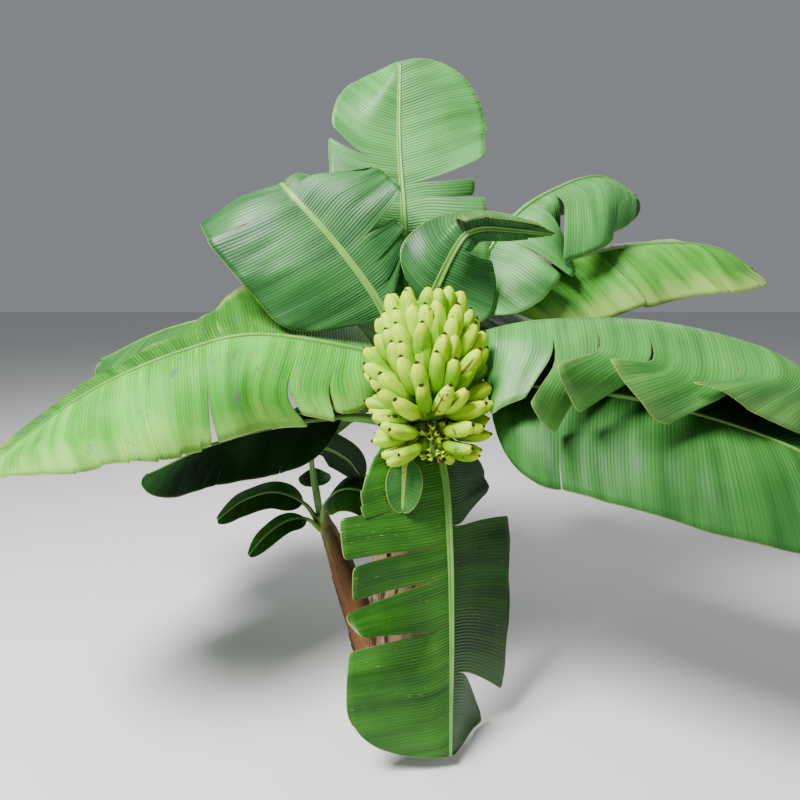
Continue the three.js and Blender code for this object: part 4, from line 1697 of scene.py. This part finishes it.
        faces = {face for vertex in made["verts"] for face in vertex.link_faces}
        bmesh.ops.recalc_face_normals(piece.bm, faces=list(faces))


@dataclass
class Bunch:
    """The bunch of green fruit, hand below hand on its stalk.

    The last hand's fruit are the last size times as large as the first's. The open hands are the
    lowest ones, which leave the stalk's front bare.
    """

    stalk: BunchStalk
    top: Point = (0.047, -0.205, 1.152)
    end: Point = (0.058, -0.290, 0.900)
    hands: int = 8
    fruit_top: int = 15
    fruit_last: int = 13
    last_size: float = 0.72
    lifts: tuple[float, float] = (0.90, -0.62)
    open_hands: int = 2
    front_gap: float = 33.0

    def build(self, palette: Palette) -> None:
        """Makes the stalk and each hand.

        Args:
            palette: The plant's materials.
        """
        self.stalk.build(palette)
        top = Vector(self.top)
        end = Vector(self.end)
        up = (top - end).normalized()
        for index in range(self.hands):
            share = index / (self.hands - 1)
            count = round(mix(self.fruit_top, self.fruit_last, share))
            size = mix(1.0, self.last_size, share ** 2.5)
            hand = Hand(index, count, size, top.lerp(end, share), up, *self.lifts, self.hands)
            if index >= self.hands - self.open_hands:
                hand.front_gap = self.front_gap
            hand.build(palette)


TORN_DEEP = (Lobe(0.4, tear=0.6), Lobe(1))
TORN_MIDWAY = (Lobe(0.5, tear=0.6), Lobe(1))
TORN_SHORT = (Lobe(0.5, tear=0.7), Lobe(1))
BLADES = (
    Leaf(
        "leaf_back_upright", 90, 0.520,
        ((0, 0.040, 1.000), (-0.002, 0.075, 1.230), (-0.012, 0.120, 1.513), (-0.027, 0.170, 1.745),
         (-0.025, 0.205, 1.985)),
        Half(8, 0, (
            Lobe(0.61, swing=16, size=0.92, tear=0.35),
            Lobe(1, hang=-42, twist=-55, swing=18, fan=-10, size=0.92),
        )),
        Half(8, 0, (
            Lobe(0.44, hang=4, swing=-20, fan=-3, tear=0.15),
            Lobe(0.50, hang=-5, twist=5, swing=-16, size=0.88, tear=0.1),
            Lobe(0.60, size=1.06, tear=0.85), Lobe(1, swing=-13, fan=7, size=1.08),
        )),
        Tone.BRIGHT, 11, tip=0.62, lean=(0, 12), ripple=0.006, tear_spacing=0.0,
    ),
    Leaf(
        "leaf_upper_left", 180, 0.570,
        ((-0.020, 0.010, 1.030), (-0.065, -0.010, 1.215), (-0.190, -0.020, 1.400), (-0.335, 0.020, 1.560),
         (-0.390, 0.110, 1.610), (-0.405, 0.230, 1.580), (-0.410, 0.330, 1.500)),
        Half(10, -5, (Lobe(0.52, tear=0.5), Lobe(0.66, hang=-20, tear=0.3), Lobe(1, hang=-50))),
        Half(15, 5, (
            Lobe(0.26, hang=-20, swing=12, fan=-30, size=0.66, tear=0.25),
            Lobe(0.56, swing=-25, fan=-26, size=0.88, tear=0.1),
            Lobe(1, hang=-60, swing=-20, size=0.8),
        )),
        Tone.UPPER, 12, roll=(85, 60), tear_spacing=0.0,
    ),
    Leaf(
        "leaf_flag", 0, 0.310,
        ((0.025, -0.020, 1.100), (0.055, -0.050, 1.235), (0.131, -0.100, 1.408), (0.185, -0.115, 1.455),
         (0.290, -0.125, 1.452), (0.385, -0.135, 1.440)),
        Half(10, 0, (
            Lobe(0.50, hang=-30, twist=-50, swing=11, fan=-17, size=1.05),
            Lobe(1, hang=50, curl=120, size=0.75),
        )),
        Half(5, -10, (Lobe(0.42, hang=-18, twist=-50, swing=-13, size=1.18), Lobe(1, hang=-40, size=0.3))),
        Tone.UPPER, 13, tip=0.36, roll=(-80, -70), tear_spacing=0.0, ripple=0.004,
    ),
    Leaf(
        "leaf_right_high", 20, 0.540,
        ((0.040, 0.040, 1.060), (0.150, 0.060, 1.250), (0.314, 0.100, 1.501), (0.482, 0.150, 1.612),
         (0.620, 0.185, 1.645), (0.735, 0.205, 1.590)),
        Half(-10, -50),
        Half(-20, -85, (
            Lobe(0.30, hang=34, twist=-19, swing=-21, size=0.9, tear=0.3),
            Lobe(0.49, hang=-9, twist=-16, swing=-16, tear=0.15),
            Lobe(0.58, hang=-40, swing=-30, size=0.6, tear=0.06),
            Lobe(1, twist=-8, swing=-48, fan=6, size=1.05),
        )),
        Tone.BRIGHT, 14, tip=0.66, tear_spacing=0.0,
    ),
    Leaf(
        "leaf_right_middle", 8, 0.520,
        ((0.060, 0.030, 1.050), (0.250, 0.090, 1.265), (0.510, 0.150, 1.384), (0.775, 0.190, 1.439),
         (1.000, 0.205, 1.430), (1.150, 0.220, 1.360)),
        Half(15, 0),
        Half(-20, -85, (
            Lobe(0.41, swing=3, tear=0.1), Lobe(0.85, hang=12, swing=2, twist=18, tear=0.5), Lobe(1, hang=25),
        )),
        Tone.SUNNY, 15,
    ),
    Leaf(
        "leaf_right_broad", -18, 0.640,
        ((0.060, -0.020, 1.080), (0.190, -0.075, 1.160), (0.374, -0.140, 1.207), (0.636, -0.220, 1.209),
         (0.900, -0.300, 1.140), (1.080, -0.350, 1.010)),
        Half(-10, -75, TORN_DEEP),
        Half(30, -40, (
            Lobe(0.22, hang=-18, swing=-24, fan=-20, size=1.02, tear=0.42),
            Lobe(0.33, hang=-4, twist=-28, swing=-35, fan=-6, size=1.31, tear=0.38),
            Lobe(0.45, hang=4, twist=-38, swing=-55, fan=-10, size=1.27, tear=0.42),
            Lobe(0.64, hang=9, twist=-35, swing=-61, fan=-6, size=1.28, tear=0.42),
            Lobe(1, hang=-8, twist=-24, swing=-66, fan=13, size=1.05),
        ), bend=0.35),
        Tone.FRESH, 16, base=0.10, tear_spacing=0.0,
    ),
    Leaf(
        "leaf_right_low", -25, 0.640,
        ((0.060, -0.050, 0.980), (0.230, -0.130, 1.030), (0.504, -0.250, 1.025), (0.705, -0.350, 0.994),
         (0.900, -0.430, 0.930), (1.050, -0.490, 0.840)),
        Half(10, 0, TORN_MIDWAY),
        Half(-15, -68, (Lobe(0.22, hang=-5, tear=0.75), Lobe(1))),
        Tone.COOL, 17, tear_spacing=0.5,
    ),
    Leaf(
        "leaf_left_broad", 192, 0.540,
        ((-0.050, -0.010, 1.080), (-0.100, -0.025, 1.107), (-0.410, -0.080, 1.166), (-0.608, -0.130, 1.134),
         (-0.850, -0.220, 1.030), (-1.080, -0.310, 0.860)),
        Half(-5, -85, (
            Lobe(0.10, hang=8, swing=-30, fan=-6, size=0.92, tear=0.5),
            Lobe(0.20, hang=2, twist=-6, swing=-44, fan=-8, size=1.02, tear=0.55),
            Lobe(0.44, hang=-6, twist=12, swing=-36, fan=24, size=1.2, tear=0.6),
            Lobe(1, hang=38, twist=14, swing=-30, fan=-24, size=1.22),
        )),
        Half(26, 10, (
            Lobe(0.22, tear=0.3), Lobe(0.50, hang=5, twist=-20, swing=-9, fan=-21, size=1.09, tear=0.1),
            Lobe(1, hang=-20, swing=-10),
        )),
        Tone.SPOTTED, 18, base=0.10, tear_spacing=0.0,
    ),
    Leaf(
        "leaf_left_back", 166, 0.420,
        ((-0.049, 0.027, 1.049), (-0.250, 0.080, 1.150), (-0.531, 0.160, 1.205), (-0.800, 0.220, 1.165),
         (-1.080, 0.290, 1.050)),
        Half(-20, -60, TORN_SHORT), Half(10, -10), Tone.COOL, 19,
    ),
    Leaf(
        "leaf_front", -88, 0.640,
        ((0.015, -0.060, 0.960), (0.050, -0.140, 0.930), (0.096, -0.215, 0.800), (0.112, -0.280, 0.600),
         (0.116, -0.335, 0.350), (0.114, -0.370, 0.150), (0.114, -0.385, 0.045)),
        Half(-34, -26, (
            Lobe(0.33, hang=-10, twist=-3, swing=-5, fan=-28, size=0.81, tear=0.05),
            Lobe(0.76, fan=14, size=0.87, tear=0.08), Lobe(1, hang=-16, swing=11, fan=-22, size=0.86),
        )),
        Half(14, 6, (
            Lobe(0.25, swing=-4, size=0.82, tear=0.35), Lobe(0.38, hang=6, swing=-12, tear=0.06),
            Lobe(0.47, swing=-10, size=0.95, tear=0.1),
            Lobe(0.61, hang=14, twist=9, swing=-17, fan=-12, tear=0.08),
            Lobe(1, hang=-20, swing=-15, fan=-9, size=0.92),
        )),
        Tone.DEEP, 20, tip=0.74, lean=(0, 12), ripple=0.010, sag=7.0, tear_spacing=0.45,
    ),
    Leaf(
        "leaf_low_left", 165, 0.400,
        ((-0.060, 0.020, 0.890), (-0.210, 0.080, 0.885), (-0.450, 0.150, 0.835), (-0.700, 0.210, 0.750),
         (-0.930, 0.260, 0.640)),
        Half(-20, -60, TORN_SHORT), Half(10, -10), Tone.SHADE, 21,
    ),
    Leaf(
        "leaf_low_back", 122, 0.420,
        ((-0.050, 0.050, 0.860), (-0.130, 0.180, 0.960), (-0.270, 0.400, 0.940), (-0.400, 0.620, 0.800),
         (-0.480, 0.760, 0.640)),
        Half(-10, -40, TORN_MIDWAY), Half(-10, -40), Tone.COOL, 22,
    ),
    Leaf(
        "leaf_back_right", 57, 0.480,
        ((0.040, 0.060, 1.040), (0.130, 0.200, 1.190), (0.300, 0.460, 1.250), (0.470, 0.730, 1.130),
         (0.560, 0.890, 0.950)),
        Half(-10, -50, TORN_DEEP), Half(-10, -50), Tone.COOL, 23,
    ),
    Leaf(
        "leaf_back_left", 103, 0.480,
        ((-0.020, 0.070, 1.060), (-0.060, 0.240, 1.230), (-0.160, 0.520, 1.280), (-0.240, 0.800, 1.130),
         (-0.290, 0.960, 0.920)),
        Half(-10, -50, TORN_DEEP), Half(-10, -50), Tone.SUNNY, 24,
    ),
)
SMALL_BLADES = (
    Leaf(
        "bract_leaf", -92, 0.110,
        ((-0.005, -0.060, 1.000), (-0.038, -0.185, 0.935), (-0.014, -0.285, 0.856), (-0.018, -0.315, 0.725)),
        Half(20, 30), Half(20, 30), Tone.COOL, 31, base=0.42, tip=0.3, blade_at=2,
        spotted_stalk=True, stalk_radii=(0.024, 0.034),
    ),
    Leaf(
        "sucker_leaf_upright", 60, 0.150,
        ((-0.318, 0.285, 0.440), (-0.345, 0.300, 0.610), (-0.345, 0.300, 0.700), (-0.300, 0.290, 0.725),
         (-0.215, 0.260, 0.690), (-0.170, 0.240, 0.640)),
        Half(30, 20), Half(-20, -40), Tone.SHADE, 32, blade_at=2,
    ),
    Leaf(
        "sucker_leaf_broad", -20, 0.190,
        ((-0.310, 0.275, 0.430), (-0.300, 0.250, 0.520), (-0.240, 0.215, 0.590), (-0.160, 0.180, 0.600),
         (-0.090, 0.150, 0.545)),
        Half(15, 0), Half(-15, -50), Tone.DEEP, 33,
    ),
    Leaf(
        "sucker_leaf_left", 185, 0.150,
        ((-0.325, 0.285, 0.430), (-0.380, 0.270, 0.520), (-0.480, 0.250, 0.570), (-0.590, 0.230, 0.545),
         (-0.680, 0.215, 0.480)),
        Half(-10, -45), Half(15, 0), Tone.DEEP, 34,
    ),
    Leaf(
        "sucker_leaf_low", 215, 0.110,
        ((-0.320, 0.275, 0.415), (-0.365, 0.240, 0.470), (-0.430, 0.200, 0.480), (-0.500, 0.160, 0.440),
         (-0.550, 0.130, 0.385)),
        Half(-10, -45), Half(15, 0), Tone.DEEP, 35,
    ),
    Leaf(
        "sucker_leaf_back", 100, 0.150,
        ((-0.322, 0.300, 0.430), (-0.345, 0.370, 0.550), (-0.370, 0.470, 0.590), (-0.390, 0.570, 0.540),
         (-0.400, 0.640, 0.470)),
        Half(-10, -45), Half(-10, -45), Tone.DEEP, 36,
    ),
)
STEM = Stem(
    "pseudostem_sheaths",
    ((0, 0, 0), (0.004, 0.006, 0.350), (0.002, 0.014, 0.700), (0, 0.008, 1.075)),
    ((0, 0.128), (0.05, 0.114), (0.14, 0.104), (0.5, 0.088), (0.85, 0.072), (1, 0.050)),
    13, 41,
)
SUCKER = Stem(
    "sucker_sheaths",
    ((-0.126, 0.104, 0), (-0.205, 0.205, 0.190), (-0.262, 0.262, 0.330), (-0.318, 0.288, 0.470)),
    ((0, 0.054), (0.1, 0.048), (0.6, 0.042), (1, 0.027)),
    12, 42, rows=170, sides=110, margin_height=0.0055, swell=0.06, fibre=0.0011,
)
STRIPS = (
    DryStrip(215, 0.62, 0.30, 0.060, 0.030, 0.35),
    DryStrip(235, 0.70, 0.12, 0.045, 0.018, -0.3),
    DryStrip(190, 0.55, 0.10, 0.050, 0.024, 0.4),
    DryStrip(20, 0.66, 0.16, 0.055, 0.020, 0.3),
    DryStrip(70, 0.74, 0.22, 0.050, 0.022, -0.25),
    DryStrip(130, 0.64, 0.08, 0.060, 0.026, 0.35),
    DryStrip(320, 0.58, 0.14, 0.048, 0.016, 0.3),
)
BUNCH_AXIS = (
    (0.008, -0.005, 1.085), (0.022, -0.055, 1.190), (0.042, -0.145, 1.235), (0.052, -0.205, 1.180),
    (0.062, -0.290, 0.935), (0.066, -0.302, 0.868),
)


@dataclass
class Plant:
    """The whole plant: stem, sucker, leaves and bunch."""

    palette: Palette = field(default_factory=Palette)
    small_ripple: float = 0.003

    def build(self) -> None:
        """Makes every part in order."""
        STEM.build(self.palette.stem, ["pseudostem"])
        SUCKER.build(self.palette.sucker, ["sucker_stem"])
        DryStrips(STEM, STRIPS).build(self.palette)
        for leaf in BLADES:
            leaf.blade(self.palette, [leaf.name + "_blade"])
            leaf.stalk(self.palette, [leaf.name + "_petiole"])
        for leaf in SMALL_BLADES:
            leaf.small = True
            leaf.tear_spacing = 0.0
            leaf.ripple = self.small_ripple
            leaf.blade(self.palette, [leaf.name])
            leaf.stalk(self.palette, [])
        Bunch(BunchStalk(BUNCH_AXIS)).build(self.palette)


@dataclass(frozen=True)
class Lamp:
    """A soft square light: where it hangs, the length of its side and its power in watts."""

    name: str
    place: Point
    size: float
    power: float


LAMPS = (
    Lamp("key", (-1.9, -1.8, 4.4), 1.5, 620.0),
    Lamp("fill", (3.2, -2.6, 2.2), 3.0, 24.0),
    Lamp("back", (1.2, 3.2, 4.0), 3.0, 70.0),
)


@dataclass
class Studio:
    """The camera, the pale floor and the soft light. The camera looks down where pitch is below 0."""

    eye: Point = (-0.024, -1.75, 1.30)
    pitch: float = -11.0
    lens: float = 26.0
    sensor: float = 36.0
    floor_size: float = 60.0
    floor_drop: float = 0.0005
    floor_color: Color = (0.72, 0.72, 0.70)
    floor_roughness: float = 0.8
    lamp_aim: Point = (0.0, -0.1, 0.9)
    sky: Color = (0.82, 0.87, 0.92)
    sky_strength: float = 0.28

    def build(self) -> None:
        """Makes the camera, floor, lights and sky."""
        self._camera()
        self._floor()
        for lamp in LAMPS:
            self._light(lamp)
        world = bpy.data.worlds.new("sky")
        world.use_nodes = True
        background = world.node_tree.nodes["Background"]
        background.inputs["Color"].default_value = (*self.sky, 1.0)
        background.inputs["Strength"].default_value = self.sky_strength
        bpy.context.scene.world = world

    def _camera(self) -> None:
        """Places the camera where the photograph was taken."""
        lens = bpy.data.cameras.new("camera")
        lens.lens = self.lens
        lens.sensor_width = self.sensor
        camera = bpy.data.objects.new("camera", lens)
        camera.location = self.eye
        camera.rotation_euler = (math.radians(90 + self.pitch), 0.0, 0.0)
        bpy.context.scene.collection.objects.link(camera)
        bpy.context.scene.camera = camera

    def _floor(self) -> None:
        """Lays the floor just under the height where the plant is cut."""
        bm = bmesh.new()
        bmesh.ops.create_grid(bm, x_segments=1, y_segments=1, size=self.floor_size / 2)
        mesh = bpy.data.meshes.new("floor")
        bm.to_mesh(mesh)
        bm.free()
        shader = Shader("floor_paint")
        paint = shader.finish(Base_Color=self.floor_color, Roughness=self.floor_roughness)
        mesh.materials.append(paint)
        floor = bpy.data.objects.new("floor", mesh)
        floor.location.z = -self.floor_drop
        bpy.context.scene.collection.objects.link(floor)

    def _light(self, lamp: Lamp) -> None:
        """Hangs one lamp that faces the bunch.

        Args:
            lamp: The lamp.
        """
        area = bpy.data.lights.new(lamp.name, "AREA")
        area.size = lamp.size
        area.energy = lamp.power
        light = bpy.data.objects.new(lamp.name, area)
        light.location = lamp.place
        aim = Vector(self.lamp_aim) - Vector(lamp.place)
        light.rotation_euler = aim.to_track_quat("-Z", "Y").to_euler()
        bpy.context.scene.collection.objects.link(light)


def main() -> None:
    """Builds the studio and the plant."""
    logging.basicConfig(level=logging.INFO, format="%(message)s")
    Studio().build()
    Plant().build()


if __name__ == "__main__":
    main()
